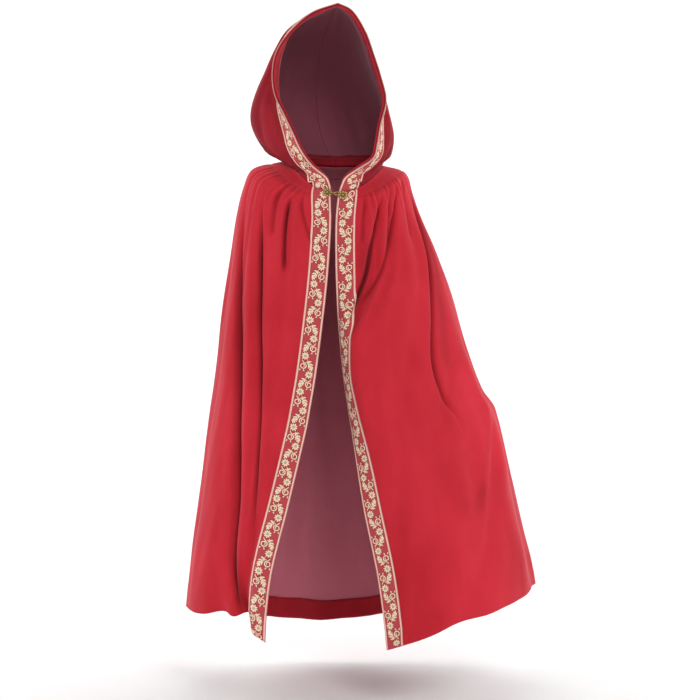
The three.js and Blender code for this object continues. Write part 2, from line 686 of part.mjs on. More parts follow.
function hoodRows(isLeft) {
  return HOOD_RINGS.map(({ up }) => {
    const middle = hood.lengthTo(0.5, up);
    const whole = hood.length(up);
    const gap = up === 1 ? 0 : SEAM_GAP / 2;
    const spread = isLeft
      ? { from: 0, to: middle - gap, count: HOOD_COLUMNS, leftRibbon: true }
      : { from: middle + gap, to: whole, count: HOOD_COLUMNS, rightRibbon: true };
    const row = columnsBetween(hood, up, spread).map((around) => wallPoint(hood, around, up));
    const ordered = isLeft ? row : row.reverse();
    if (up === 1) ordered.forEach((point) => (point.place.x += isLeft ? -SEAM_GAP / 2 : SEAM_GAP / 2));
    return ordered;
  });
}

// The ribbon's rows: the columns of a cloth that lie next to its front edge.
function ribbonRows(rows, columns, fromRight) {
  return rows.map((row) => (fromRight ? row.slice(-columns - 1) : row.slice(0, columns + 1)));
}

function ribbonOver(rows, reversedFrom) {
  return wallMesh(rows, { outer: LAYER_GAP + RIBBON_WALL, inner: LAYER_GAP, reversedFrom });
}

function bandUnder(rows, reversedFrom) {
  const top = -VELVET_WALL - LAYER_GAP;
  return wallMesh(rows, { outer: top, inner: top - FACING_WALL, reversedFrom });
}

// The two halves' rows as one run over the ridge, sharing the ridge's own row.
function overTheRidge(left, right) {
  const ridgeLeft = left[left.length - 1];
  const ridgeRight = right[right.length - 1];
  const shared = ridgeLeft.map((point, i) => ({
    ...point,
    place: point.place.clone().lerp(ridgeRight[i].place, 0.5),
  }));
  return [...left.slice(0, -1), shared, ...right.slice(0, -1).reverse()];
}

// A clasp plate with a scalloped edge, its flat back on the ribbon.
function plateGeometry() {
  const positions = [];
  const index = [];
  for (const ring of PLATE_PROFILE) {
    for (let i = 0; i < PLATE_COLUMNS; i++) {
      const angle = (2 * Math.PI * i) / PLATE_COLUMNS;
      const petal = PLATE_SCALLOP * Math.cos(PLATE_PETALS * angle) * ring.radius;
      const radius = PLATE_RADIUS * ring.radius + petal;
      positions.push(radius * Math.cos(angle), radius * Math.sin(angle), ring.height);
    }
  }
  const backCentre = positions.length / 3;
  positions.push(0, 0, 0);
  const topCentre = backCentre + 1;
  positions.push(0, 0, PLATE_TOP);
  for (let r = 0; r < PLATE_PROFILE.length; r++) {
    for (let i = 0; i < PLATE_COLUMNS; i++) {
      const next = (i + 1) % PLATE_COLUMNS;
      const a = r * PLATE_COLUMNS + i;
      const b = r * PLATE_COLUMNS + next;
      if (r === 0) index.push(backCentre, b, a);
      if (r === PLATE_PROFILE.length - 1) index.push(topCentre, a, b);
      else index.push(a, b, b + PLATE_COLUMNS, a, b + PLATE_COLUMNS, a + PLATE_COLUMNS);
    }
  }
  const geometry = new THREE.BufferGeometry();
  geometry.setAttribute("position", new THREE.Float32BufferAttribute(positions, 3));
  geometry.setIndex(index);
  return facingOut(geometry);
}

function wireGeometry(points, steps) {
  const section = new THREE.Shape();
  for (let i = 0; i < WIRE_SIDES; i++) {
    const angle = (2 * Math.PI * i) / WIRE_SIDES;
    const x = WIRE_RADIUS * Math.cos(angle);
    const y = WIRE_RADIUS * Math.sin(angle);
    if (i === 0) section.moveTo(x, y);
    else section.lineTo(x, y);
  }
  const path = new THREE.CatmullRomCurve3(points.map(vector));
  return new THREE.ExtrudeGeometry(section, { steps, bevelEnabled: false, extrudePath: path });
}

const wasm = await Module();
wasm.setup();

function solidFrom(geometry) {
  const bare = geometry.clone();
  bare.deleteAttribute("normal");
  if (bare.getAttribute("uv")) bare.deleteAttribute("uv");
  const merged = mergeVertices(bare);
  const made = new wasm.Manifold(
    new wasm.Mesh({
      numProp: 3,
      vertProperties: merged.attributes.position.array,
      triVerts: new Uint32Array(merged.index.array),
    }),
  );
  return made;
}

function geometryFrom(solid) {
  const mesh = solid.getMesh();
  const geometry = new THREE.BufferGeometry();
  geometry.setAttribute("position", new THREE.BufferAttribute(Float32Array.from(mesh.vertProperties), 3));
  geometry.setIndex(new THREE.BufferAttribute(Uint32Array.from(mesh.triVerts), 1));
  geometry.computeVertexNormals();
  return geometry;
}

// A plate and its wire as one casting, tilted with the ribbon and a given reach in front of it.
function claspHalf(name, at, wirePoints, reach) {
  const joined = solidFrom(plateGeometry()).add(solidFrom(wireGeometry(wirePoints, WIRE_STEPS)));
  const mesh = named(name, geometryFrom(joined), brass());
  mesh.rotation.set(Math.PI / 2 - PLATE_TILT, 0, 0);
  const forward = (at[1] * Math.sin(PLATE_TILT) - reach) / Math.cos(PLATE_TILT);
  mesh.position.set(at[0], forward, at[1]);
  return mesh;
}

// How far forward a plate sits to clear every ribbon point behind it, measured square to the plate.
function plateReach(ribbons, at) {
  const forward = new THREE.Vector3(0, -Math.cos(PLATE_TILT), Math.sin(PLATE_TILT));
  const lift = 2 * LAYER_GAP + RIBBON_WALL;
  const reaches = ribbons.flat(2).flatMap(({ place, normal }) => {
    const away = Math.hypot(place.x - at[0], place.z - at[1]);
    if (away > PLATE_NEIGHBOURS) return [];
    return [place.clone().addScaledVector(normal, lift).dot(forward)];
  });
  return Math.max(...reaches);
}

function buildCape() {
  const cape = new THREE.Group();
  const yoke = yokeRows();
  cape.add(named("yoke", wallMesh(yoke, { outer: 0, inner: -VELVET_WALL }), velvet()));

  const panels = new Map();
  for (const panel of PANELS) {
    const rows = panelRows(panel);
    panels.set(panel.name, rows);
    cape.add(named(panel.name, wallMesh(rows, { outer: 0, inner: -VELVET_WALL }), velvet()));
    cape.add(named("hem_" + panel.name.replace("front_", ""), bandUnder(rows.slice(-2)), hemVelvet()));
  }

  const ribbonLeft = [
    ...ribbonRows(yoke.slice(1), RIBBON_COLUMNS, false),
    ...ribbonRows(panels.get("front_left"), RIBBON_COLUMNS, false),
  ];
  const ribbonRight = [
    ...ribbonRows(yoke.slice(1), RIBBON_COLUMNS, true),
    ...ribbonRows(panels.get("front_right"), RIBBON_COLUMNS, true),
  ];
  cape.add(named("trim_left", ribbonOver(ribbonLeft), ribbon()));
  cape.add(named("trim_right", ribbonOver(ribbonRight), ribbon()));

  const hoodLeft = hoodRows(true);
  const hoodRight = hoodRows(false);
  cape.add(named("hood_left", wallMesh(hoodLeft, { outer: 0, inner: -VELVET_WALL }), velvet()));
  cape.add(named("hood_right", wallMesh(hoodRight, { outer: 0, inner: -VELVET_WALL }), velvet()));
  const faceEdge = overTheRidge(
    ribbonRows(hoodLeft, RIBBON_COLUMNS, false),
    ribbonRows(hoodRight, RIBBON_COLUMNS, false),
  );
  cape.add(named("trim_hood", ribbonOver(faceEdge, HOOD_RINGS.length - 1), ribbon()));
  const facing = faceEdge.map((row) => row.slice(0, FACING_COLUMNS + 1));
  cape.add(named("hood_facing", bandUnder(facing, HOOD_RINGS.length - 1), velvet()));

  const ribbons = [ribbonLeft, ribbonRight, faceEdge];
  const reach = Math.max(plateReach(ribbons, LEFT_PLATE_AT), plateReach(ribbons, RIGHT_PLATE_AT));
  cape.add(claspHalf("clasp_left", LEFT_PLATE_AT, HOOK_POINTS, reach));
  cape.add(claspHalf("clasp_right", RIGHT_PLATE_AT, EYE_POINTS, reach));
  return cape;
}

export default buildCape();
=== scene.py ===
"""A child's hooded cape of red velvet, worn open and held at the neck by a hook-and-eye clasp.

The fronts and the hood's face edge are trimmed with a woven flowered ribbon, and the body is
gathered to a shoulder yoke. Every cloth is a thin closed wall on the form of its solid in the
frame, drawn from the same rings and troughs, with finer gathers, creases and seams. Lengths are
in metres, and the tables of rings and troughs are in millimetres.
"""

import logging
import math
from collections.abc import Callable, Mapping, Sequence
from dataclasses import dataclass, field
from enum import Enum

import bpy
import numpy as np
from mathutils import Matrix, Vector


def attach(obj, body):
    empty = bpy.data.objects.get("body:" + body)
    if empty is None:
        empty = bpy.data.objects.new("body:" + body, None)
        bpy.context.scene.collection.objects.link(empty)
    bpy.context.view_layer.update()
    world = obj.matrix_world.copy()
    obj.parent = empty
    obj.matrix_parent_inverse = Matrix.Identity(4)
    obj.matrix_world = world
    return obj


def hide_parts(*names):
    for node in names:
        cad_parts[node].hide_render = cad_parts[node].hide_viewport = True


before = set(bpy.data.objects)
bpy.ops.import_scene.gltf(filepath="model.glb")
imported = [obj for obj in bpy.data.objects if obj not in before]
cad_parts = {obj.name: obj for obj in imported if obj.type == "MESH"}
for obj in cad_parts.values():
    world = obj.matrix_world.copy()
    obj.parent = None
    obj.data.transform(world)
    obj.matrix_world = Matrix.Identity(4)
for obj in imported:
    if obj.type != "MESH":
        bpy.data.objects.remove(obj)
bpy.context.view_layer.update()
LOG = logging.getLogger("cape")

MM = 0.001
Point = tuple[float, float, float]
Colour = tuple[float, float, float, float]
Surface = Callable[[np.ndarray, np.ndarray], np.ndarray]

VELVET_WALL = 2.0 * MM
RIBBON_WALL = 1.2 * MM
FACING_WALL = 1.2 * MM
LAYER_GAP = 0.3 * MM
SEAM_GAP = 0.3 * MM
RIBBON_WIDTH = 29.0 * MM
LEAST_SQUARE = 0.72
HEM_TOP = 0.95
GATHERS = 52
GATHERS_IN_A_FRONT = 14
GATHERS_UNDER_RIBBON = 3
GATHER_DEPTH = 2.1 * MM
GATHER_END = 0.12
HANDLE = 0.56
NORMAL_STEP = 0.0015
LENGTH_STEPS = 240
RIDGE_SOFTNESS = 0.16
FOLD_REACH = 3.0
HEM_LIFT = 0.6
HEM_TILT = 0.1
LIFT_FROM = 0.72

GATHER_LEVELS = (-0.022, 0.0, 0.008, 0.03, 0.06, 0.11)
GATHER_SHARES = (0.0, 0.4, 1.0, 0.75, 0.35, 0.0)
GATHER_SHARPNESS = 2.8
# The gathers ease over the shoulders, at these shares of the way round
SHOULDERS = (0.2, 0.8)
SHOULDER_HALF = 0.075
SHOULDER_EASE = 0.75
# The hood sinks in behind its face edge, where the ribbon no longer holds it out
SINK_DEPTH = 8.0 * MM
SINK_AT = 31.0 * MM
SINK_HALF = 15.0 * MM
SINK_LEVELS = (0.26, 0.5, 0.93, 1.0)
# A crease narrower than this, in millimetres, gets painted shade in its trough, this much for each
# millimetre of its depth
SHARP_HALF = 5.0
SHARP_PAINTED_SHADE = 0.11
WAVE_EDGE = 18.0 * MM
WAVE_RISE = 0.12
EVEN_FROM = 0.12
EVEN_OVER = 0.2
SEAM_DIP = 0.7 * MM
SEAM_FILL = 0.16 * MM
NECK_TUCK = 3.6 * MM
NECK_ALLOWANCE_ROWS = 8
# An upright line inside the hood, which no normal of the hood may point at squarely
HOOD_AXIS = (-10.0 * MM, 10.0 * MM, 0.0)
TURNED_BACK = -0.5
HEM_LINE = 0.45
SEAM_SOFTNESS = 2.6 * MM
EDGE_ROUND = 0.7 * MM
BODY_DROP = 0.67
HOOD_RISE = 0.24
HALF_GAP_LEVEL = 0.00022

YOKE_ROWS = 16
YOKE_COLUMNS = 300
TOP_ROWS = 26
LOW_ROWS = 120
FRONT_COLUMNS = 180
BACK_COLUMNS = 288
HEM_ROWS = 9
HOOD_ROWS = 96
HOOD_COLUMNS = 96
FACING_ROWS = 240
FACING_COLUMNS = 8
EDGING_ROWS = 300
EDGING_COLUMNS = 28

BORDER_WIDTH = 2.7 * MM
BORDER_RISE = 0.22 * MM
LINE_WIDTH = 0.5 * MM
OUTLINE_WIDTH = 0.45
RIBBON_STEP = 2.4 * MM
REPEAT = 27.0
STITCH_HALF = 0.3 * MM
STITCH_HIGH = 0.3 * MM
STITCH_START = 0.2
STITCH_SHARE = 0.62
STITCH_END = 0.4
STITCH_FOOT = 0.6
STITCH_INSET = 1.3 * MM

# The ribbon's raised figures, in millimetres over its face
FIGURE_ROOT = -0.25
FIGURE_INSET = 0.93
OUTLINE_HIGH = 0.12
FIGURE_HIGH = 0.3
FIGURE_DOME = 0.12
STEM_DOME = 0.1
PETALS = 9
PETAL_LONG = 4.9
PETAL_ROOT = 1.4
EYE_RADIUS = 1.8
SCROLL_TURNS = 2.45
BORDER_PUCKER = 0.12 * MM

# The clasp, in millimetres, with each wire in its rosette's own frame
PLATE_RADIUS = 6.5
PLATE_PETALS = 8
PLATE_SCALLOP = 0.35
PLATE_TILT = 0.3
PLATE_THICK = 1.2
PLATE_RINGS = 44
PLATE_COLUMNS = 128
# The rosette's parts: heights in millimetres, places and half widths as shares of its radius
PETAL_HIGH = 0.95
PETAL_FROM = 0.42
PETAL_OVER = 0.55
BEAD_PAIRS = 10
BEAD_HIGH = 0.28
BEAD_AT = 0.47
BEAD_HALF = 0.045
BOSS_HIGH = 1.5
BOSS_SHARE = 0.3
COLLAR_HIGH = 0.9
COLLAR_AT = 0.36
COLLAR_HALF = 0.05
RIM_FROM = 0.93
RIM_FALL = 0.35
WIRE_STEPS = 96
WIRE_SIDES = 18
WIRE_RADIUS = 0.7
EYE_POINTS: tuple[Point, ...] = (
    (-4.5, -0.1, 1.7), (-7.5, -0.1, 1.7), (-12.1, 0.11, 1.7), (-13.3, 2.0, 1.7),
    (-12.1, 3.89, 1.7), (-7.5, 4.1, 1.7), (-4.5, 4.1, 1.7),
)
HOOK_POINTS: tuple[Point, ...] = (
    (4.1, -0.8, 1.7), (5.9, -1.4, 2.7), (7.7, -2.0, 3.7), (11.7, -2.0, 3.7),
    (13.3, -2.0, 1.7), (11.7, -2.0, -0.3), (8.7, -2.0, -0.3),
)


class Side(Enum):
    """The side of the cape, as seen from the front."""

    LEFT = 0
    RIGHT = 1


@dataclass(frozen=True)
class Ring:
    """One ring of a cloth, in millimetres, from its left front edge round the back to the right.

    A lead is the way that the ring leaves its front edge.
    """

    level: float
    left_edge: Point
    left_lead: Point
    left_side: Point
    back: Point
    right_side: Point
    right_lead: Point
    right_edge: Point

    def stations(self) -> list[Point]:
        """Return the ring's seven vectors in order."""
        return [self.left_edge, self.left_lead, self.left_side, self.back,
                self.right_side, self.right_lead, self.right_edge]


@dataclass(frozen=True)
class Fold:
    """A soft trough between two levels, with its place, depth and half width at each end.

    Places are shares of the way round a ring. Depths and widths are in millimetres, and a
    negative depth is a ridge. A lean makes the side further round wider and the other narrower,
    and a bend bows the trough's line further round at its middle.
    """

    name: str
    top: float
    bottom: float
    start: float
    end: float
    deep: tuple[float, float]
    half: tuple[float, float]
    lean: float = 0.0
    bend: float = 0.0


@dataclass(frozen=True)
class Wave:
    """A slow unevenness of a cloth: waves round a ring, their drift with the level, and height."""

    count: float
    drift: float
    phase: float
    height: float


BODY_RINGS: tuple[Ring, ...] = (
    Ring(-0.05, (-8, -80, -25), (-40, 0, 0), (-70, 4, 22), (-3, 62, 14),
         (70, 4, 14), (40, 0, -2), (3, -80, -27)),
    Ring(0, (-9, -85, -34), (-54, -5, -3), (-101, 8, 17), (-4, 92, -4),
         (98, 8, 6), (56, -5, -4), (1.5, -85, -37)),
    Ring(0.03, (-8.5, -89, -52), (-72, -4, -2), (-130, 8, 8), (-8, 107, -20),
         (108, 8, -6), (64, -5, -4), (-0.5, -88, -55)),
    Ring(0.06, (-8.2, -92, -69), (-80, -4, 0), (-142, 6, -18), (-11, 118, -42),
         (113, 6, -24), (68, -6, -3), (-1.5, -90, -72)),
    Ring(0.12, (-10, -97, -108), (-86, -6, 0), (-152, 5, -60), (-12, 128, -84),
         (128, 5, -64), (76, -10, 0), (-1.8, -93, -112)),
    Ring(0.2, (-14, -103, -160), (-88, -8, 0), (-161, 0, -112), (-8, 134, -138),
         (150, 0, -114), (82, -24, 0), (-0.5, -95, -163)),
    Ring(0.3, (-20.5, -110, -219), (-88, -10, 0), (-172, -5, -184), (0, 142, -204),
         (178, -5, -184), (44, -80, 0), (3.5, -94, -221)),
    Ring(0.42, (-30, -121, -293), (-88, -12, 0), (-181, -8, -268), (8, 151, -288),
         (203, -8, -268), (14, -98, 0), (10.5, -94, -296)),
    Ring(0.5, (-39, -129, -347), (-85, -14, 0), (-188, -8, -326), (15, 158, -347),
         (224, -9, -325), (26, -100, 0), (18.5, -101, -350)),
    Ring(0.54, (-44, -133, -374), (-84, -14, 0), (-192, -8, -354), (18, 161, -376),
         (244, -10, -354), (36, -98, 0), (23, -106, -378)),
    Ring(0.7, (-70, -149, -484), (-78, -14, 0), (-207, -3, -465), (24, 175, -490),
         (270, -4, -462), (100, -78, 0), (40, -132, -489)),
    Ring(0.84, (-94, -161, -580), (-76, -10, 0), (-221, 4, -560), (18, 188, -598),
         (291, 4, -550), (118, -78, 0), (60, -148, -586)),
    Ring(0.95, (-102.5, -169, -648), (-70, 0, 18), (-230, 8, -623), (12, 197, -684),
         (302, 8, -602), (116, -78, 24), (70.5, -156, -660)),
    Ring(1, (-104, -172, -681), (-62, 8, 38), (-233, 10, -656), (8, 200, -716),
         (306, 10, -627), (102, -84, 46), (74, -160, -695)),
)

HOOD_RINGS: tuple[Ring, ...] = (
    Ring(0, (-8, -80, -24.6), (-40, 0, 0), (-70, 4, 22.6), (-3, 62, 14.6),
         (70, 4, 14.6), (40, 0, -2), (3, -80, -26.6)),
    Ring(0.025, (-9.5, -79.6, -16), (-36, 2, 0), (-74, 7, 30), (-4, 68, 22),
         (72, 6, 21), (36, 2, -2), (6, -79.4, -18)),
    Ring(0.056, (-14, -78, -5), (-27, 12, -4), (-103, 32, 32), (-8, 88, 26),
         (80, 12, 26), (25, 12, -7), (11, -77, -6)),
    Ring(0.136, (-35, -70, 13), (-28, 34, -6), (-116, 40, 43), (-16, 110, 38),
         (84.5, 16, 40), (22, 30, -13), (28, -71, 7)),
    Ring(0.214, (-51, -62, 34), (-27, 38, -4), (-126, 47, 60), (-24, 124, 57),
         (86, 16, 54), (12, 38, -8), (53, -60, 24)),
    Ring(0.303, (-64, -52, 61), (-17, 44, -5), (-132.5, 50, 80), (-30, 133, 82),
         (85, 14, 70), (10, 40, -3), (59.5, -50, 45)),
    Ring(0.397, (-78, -43, 90), (-10, 46, -3), (-131.5, 48, 102), (-33, 136, 108),
         (80.5, 8, 93), (8, 42, 0), (64.5, -43, 74)),
    Ring(0.497, (-93, -35, 122), (5, 46, 0), (-123, 42, 128), (-34, 133, 134),
         (75, 0, 118), (3, 40, 0), (73, -38, 111)),
    Ring(0.594, (-95.5, -34, 157), (8, 44, 2), (-111, 34, 155), (-32, 122, 162),
         (64.5, -10, 150), (2, 36, 2), (65, -36, 147)),
    Ring(0.678, (-88, -37, 186), (4, 40, 4), (-97, 26, 186), (-28, 104, 190),
         (53, -14, 182), (2, 32, 3), (54.5, -39, 179)),
    Ring(0.778, (-66, -44, 215), (-10, 34, 5), (-76, 14, 219), (-20, 76, 219),
         (42, -18, 213), (2, 26, 3), (42.5, -45, 211)),
    Ring(0.889, (-36, -50, 239), (-6, 26, 3), (-42, 0, 243), (-8, 40, 243),
         (24, -24, 243), (2, 20, 2), (23, -52, 241)),
    Ring(1, (2, -55, 252), (-0.6, 18, 0.6), (0, -22, 254), (-2, 10, 254),
         (0, -22, 254), (-0.6, 18, 0.6), (2, -55, 252)),
)

BODY_FOLDS: tuple[Fold, ...] = (
    Fold("left long", 0.02, 1.1, 0.185, 0.052, (3, 15), (9, 15)),
    Fold("left edge", 0.62, 1.3, 0.05, 0.045, (2, 52), (10, 16)),
    Fold("left low", 0.5, 1.3, 0.105, 0.1, (2, 24), (18, 34)),
    Fold("left middle", 0.05, 0.82, 0.12, 0.062, (5, 6), (9, 14)),
    Fold("left slit", 0.01, 0.2, 0.073, 0.062, (5, 4), (5, 6)),
    Fold("left short", 0.01, 0.13, 0.1, 0.097, (3, 3), (7, 8)),
    Fold("left rear", 0.04, 1.1, 0.235, 0.2, (3, 9), (12, 26)),
    Fold("back first", 0.04, 1.1, 0.32, 0.3, (4, 15), (10, 27)),
    Fold("back second", 0.02, 1.1, 0.39, 0.375, (4, 12), (10, 24)),
    Fold("back third", 0.05, 1.1, 0.455, 0.45, (3, 17), (10, 30)),
    Fold("back fourth", 0.02, 1.1, 0.53, 0.54, (4, 13), (10, 26)),
    Fold("back fifth", 0.05, 1.1, 0.6, 0.62, (4, 16), (10, 30)),
    Fold("back sixth", 0.03, 1.1, 0.675, 0.69, (3, 12), (11, 28)),
    Fold("right rear", 0.1, 1.1, 0.76, 0.775, (2, 10), (12, 34)),
    Fold("right long", 0.02, 0.5, 0.822, 0.885, (4, 4), (9, 16)),
    Fold("right middle", 0.02, 0.34, 0.868, 0.95, (5, 5), (7, 10)),
    Fold("right deep", 0.01, 0.34, 0.9, 0.972, (5, 13), (6, 9)),
    Fold("right low", 0.5, 1.1, 0.825, 0.93, (3, 9), (16, 34)),
)

HOOD_FOLDS: tuple[Fold, ...] = (
    Fold("left nape", 0.05, 0.75, 0.27, 0.3, (3, 3), (8, 12)),
    Fold("left ear", 0.12, 0.62, 0.17, 0.15, (3, 2), (9, 9)),
    Fold("left back", 0.05, 0.7, 0.4, 0.41, (4, 3), (10, 14)),
    Fold("right back", 0.05, 0.7, 0.6, 0.58, (4, 3), (10, 14)),
    Fold("right nape", 0.05, 0.7, 0.72, 0.69, (3, 3), (8, 12)),
)

# Finer creases than the solids have, read as the troughs are
BODY_CREASES: tuple[Fold, ...] = (
    Fold("left pleat a", 0.02, 1.1, 0.200, 0.052, (5.5, 4.0), (3.2, 4.4), 0.3, -0.008),
    Fold("left pleat b", 0.02, 0.80, 0.136, 0.046, (9.0, 5.0), (3.2, 4.4), 0.35),
    Fold("left pleat ridge", 0.1, 0.9, 0.148, 0.07, (-2.0, -3.0), (9, 12)),
    Fold("left slit", 0.012, 0.2, 0.081, 0.069, (9.0, 6.0), (2.4, 2.6)),
    Fold("left slit tail", 0.12, 0.42, 0.069, 0.060, (2.5, 2.0), (5, 8)),
    Fold("left short a", 0.002, 0.13, 0.110, 0.100, (4.0, 2.0), (2.7, 3.4)),
    Fold("left short b", 0.002, 0.12, 0.064, 0.026, (4.0, 2.5), (2.7, 3.8)),
    Fold("left shoulder a", 0.004, 0.3, 0.165, 0.145, (2.2, 1.6), (4, 8)),
    Fold("left rear eased", 0.2, 1.1, 0.229, 0.2, (-1.0, -5.0), (13, 26)),
    Fold("left low", 0.3, 1.15, 0.098, 0.060, (1.5, 2.5), (8, 12)),
    Fold("right pleat a", 0.004, 0.32, 0.888, 0.985, (6.5, 7.0), (3.0, 4.4), -0.3, 0.012),
    Fold("right pleat b", 0.004, 0.26, 0.834, 0.966, (5.5, 4.0), (2.8, 4.4), -0.3),
    Fold("right pleat c", 0.01, 0.58, 0.758, 0.846, (5.5, 5.0), (3.2, 4.6), -0.4, 0.032),
    Fold("right short a", 0.002, 0.12, 0.935, 0.955, (3.6, 2.0), (2.6, 3.6)),
    Fold("right short b", 0.002, 0.14, 0.862, 0.905, (3.0, 1.8), (2.6, 3.8)),
    Fold("right short c", 0.002, 0.16, 0.805, 0.85, (2.6, 1.6), (2.8, 4.6)),
    Fold("right edge ridge", 0.22, 0.62, 0.955, 0.952, (-3.0, -3.0), (10, 14)),
    Fold("right elbow a", 0.40, 0.60, 0.80, 0.90, (2.4, 2.0), (9, 12)),
    Fold("right elbow b", 0.46, 0.95, 0.762, 0.905, (4.0, 5.0), (9, 22), -0.3),
    Fold("right elbow ridge", 0.40, 0.72, 0.775, 0.80, (-4.0, -3.5), (12, 22)),
    Fold("right skirt", 0.55, 1.1, 0.89, 0.94, (1.2, 2.0), (16, 26)),
    Fold("back crease a", 0.004, 0.5, 0.36, 0.35, (3.6, 1.6), (4, 13)),
    Fold("back crease b", 0.004, 0.6, 0.485, 0.488, (3.6, 1.6), (4, 14)),
    Fold("back crease c", 0.004, 0.45, 0.565, 0.575, (3.8, 1.6), (4, 13)),
    Fold("back crease d", 0.004, 0.55, 0.64, 0.648, (3.4, 1.6), (4, 14)),
    Fold("back pleat a", 0.02, 1.1, 0.425, 0.42, (4.0, 4.0), (3.4, 6.0), 0.3),
    Fold("back pleat b", 0.02, 0.8, 0.53, 0.55, (5.0, 4.0), (3.4, 6.0), -0.3),
    Fold("back pleat c", 0.02, 1.1, 0.34, 0.315, (4.0, 4.0), (3.4, 6.0), 0.3),
    Fold("back pleat d", 0.02, 0.9, 0.61, 0.625, (4.0, 4.0), (3.4, 6.0), -0.3),
    Fold("back pleat e", 0.02, 0.7, 0.685, 0.70, (4.0, 3.0), (3.4, 6.0), -0.3),
    Fold("back low", 0.4, 1.2, 0.50, 0.498, (1.4, 4.0), (12, 22)),
)
# Strokes of painted shade beside the creases, along the left edge, low down and on the yoke, and of painted
# highlight between the pleats, at the elbow and on the skirt, read as the troughs are, with a darkness in
# place of a depth
BODY_PAINTED_STROKES: tuple[Fold, ...] = (
    Fold("beside pleat a", 0.08, 1.0, 0.201, 0.070, (0.35, 0.3), (8, 10), 0.0, -0.008),
    Fold("between pleats", 0.1, 0.9, 0.152, 0.066, (-0.35, -0.3), (7, 9)),
    Fold("left of edge", 0.0, 1.15, 0.262, 0.262, (0.4, 0.4), (20, 22)),
    Fold("low left", 0.62, 1.02, 0.088, 0.056, (0.2, 0.6), (9, 10)),
    Fold("beside pleat c", 0.02, 0.52, 0.742, 0.822, (0.4, 0.2), (14, 14), 0.0, 0.03),
    Fold("beside ribbon", 0.06, 0.36, 0.945, 0.975, (0.3, 0.3), (12, 10)),
    Fold("elbow", 0.42, 0.7, 0.80, 0.83, (-0.5, -0.5), (34, 44)),
    Fold("below elbow", 0.54, 0.84, 0.79, 0.90, (0.35, 0.15), (14, 22)),
    Fold("skirt", 0.7, 1.05, 0.87, 0.90, (-0.25, -0.3), (50, 60)),
    Fold("right yoke", -0.05, 0.02, 0.86, 0.86, (0.3, 0.3), (60, 60)),
    Fold("left yoke", -0.05, 0.02, 0.13, 0.13, (0.3, 0.3), (60, 60)),
)
# Strokes of painted shade low on each side of the hood and on its left side, and a painted highlight on its
# left cheek, read as the troughs are
HOOD_PAINTED_STROKES: tuple[Fold, ...] = (
    Fold("left cheek", 0.1, 0.5, 0.13, 0.16, (-0.25, -0.2), (14, 18)),
    Fold("left under", -0.02, 0.2, 0.16, 0.2, (0.5, 0.3), (30, 20)),
    Fold("right under", -0.02, 0.2, 0.84, 0.8, (0.3, 0.2), (24, 20)),
    Fold("left painted shade", 0.2, 0.9, 0.24, 0.3, (0.35, 0.25), (16, 20)),
)
HOOD_CREASES: tuple[Fold, ...] = (
    Fold("left chin a", 0.004, 0.16, 0.105, 0.15, (1.6, 1.2), (3, 6)),
    Fold("left chin b", 0.004, 0.22, 0.16, 0.20, (1.8, 1.4), (4, 7)),
    Fold("left chin c", 0.004, 0.12, 0.215, 0.235, (1.4, 1.0), (4, 6)),
    Fold("left cheek", 0.16, 0.52, 0.10, 0.115, (1.4, 1.0), (6, 9)),
    Fold("right chin a", 0.004, 0.16, 0.885, 0.85, (1.6, 1.0), (3, 6)),
    Fold("right chin b", 0.004, 0.2, 0.83, 0.80, (1.4, 1.0), (4, 6)),
    Fold("nape a", 0.004, 0.3, 0.35, 0.36, (1.8, 1.2), (5, 9)),
    Fold("nape b", 0.004, 0.3, 0.45, 0.45, (1.6, 1.2), (5, 9)),
    Fold("nape c", 0.004, 0.3, 0.55, 0.55, (1.6, 1.2), (5, 9)),
    Fold("nape d", 0.004, 0.3, 0.65, 0.64, (1.8, 1.2), (5, 9)),
)
BODY_WAVES: tuple[Wave, ...] = (
    Wave(7, 0.9, 0.10, 0.8),
    Wave(13, -0.7, 0.37, 0.6),
    Wave(21, 1.9, 0.71, 0.35),
    Wave(34, -3.6, 0.23, 0.2),
    Wave(5, 4.3, 0.55, 0.5),
)
HOOD_WAVES: tuple[Wave, ...] = (
    Wave(5, 1.4, 0.3, 0.6),
    Wave(9, -1.9, 0.8, 0.45),
    Wave(15, 2.3, 0.15, 0.25),
)


def smooth(t: np.ndarray | float) -> np.ndarray | float:
    """Return a share that rises softly from 0 to 1 as t does."""
    held = np.clip(t, 0.0, 1.0)
    return held * held * (3.0 - 2.0 * held)


def unit(vectors: np.ndarray) -> np.ndarray:
    """Return the vectors at length one."""
    return vectors / np.maximum(np.linalg.norm(vectors, axis=-1, keepdims=True), 1e-12)


def bezier(points: Sequence[np.ndarray], t: np.ndarray) -> np.ndarray:
    """Return the points at t of a cubic curve.

    Args:
        points: The start, its handle, the end's handle and the end.
        t: Shares of the way along, with one axis less than the points.

    Returns:
        The places on the curve.
    """
    a, b, c, d = points
    t = t[..., None]
    s = 1.0 - t
    return s * s * s * a + 3 * s * s * t * b + 3 * s * t * t * c + t * t * t * d


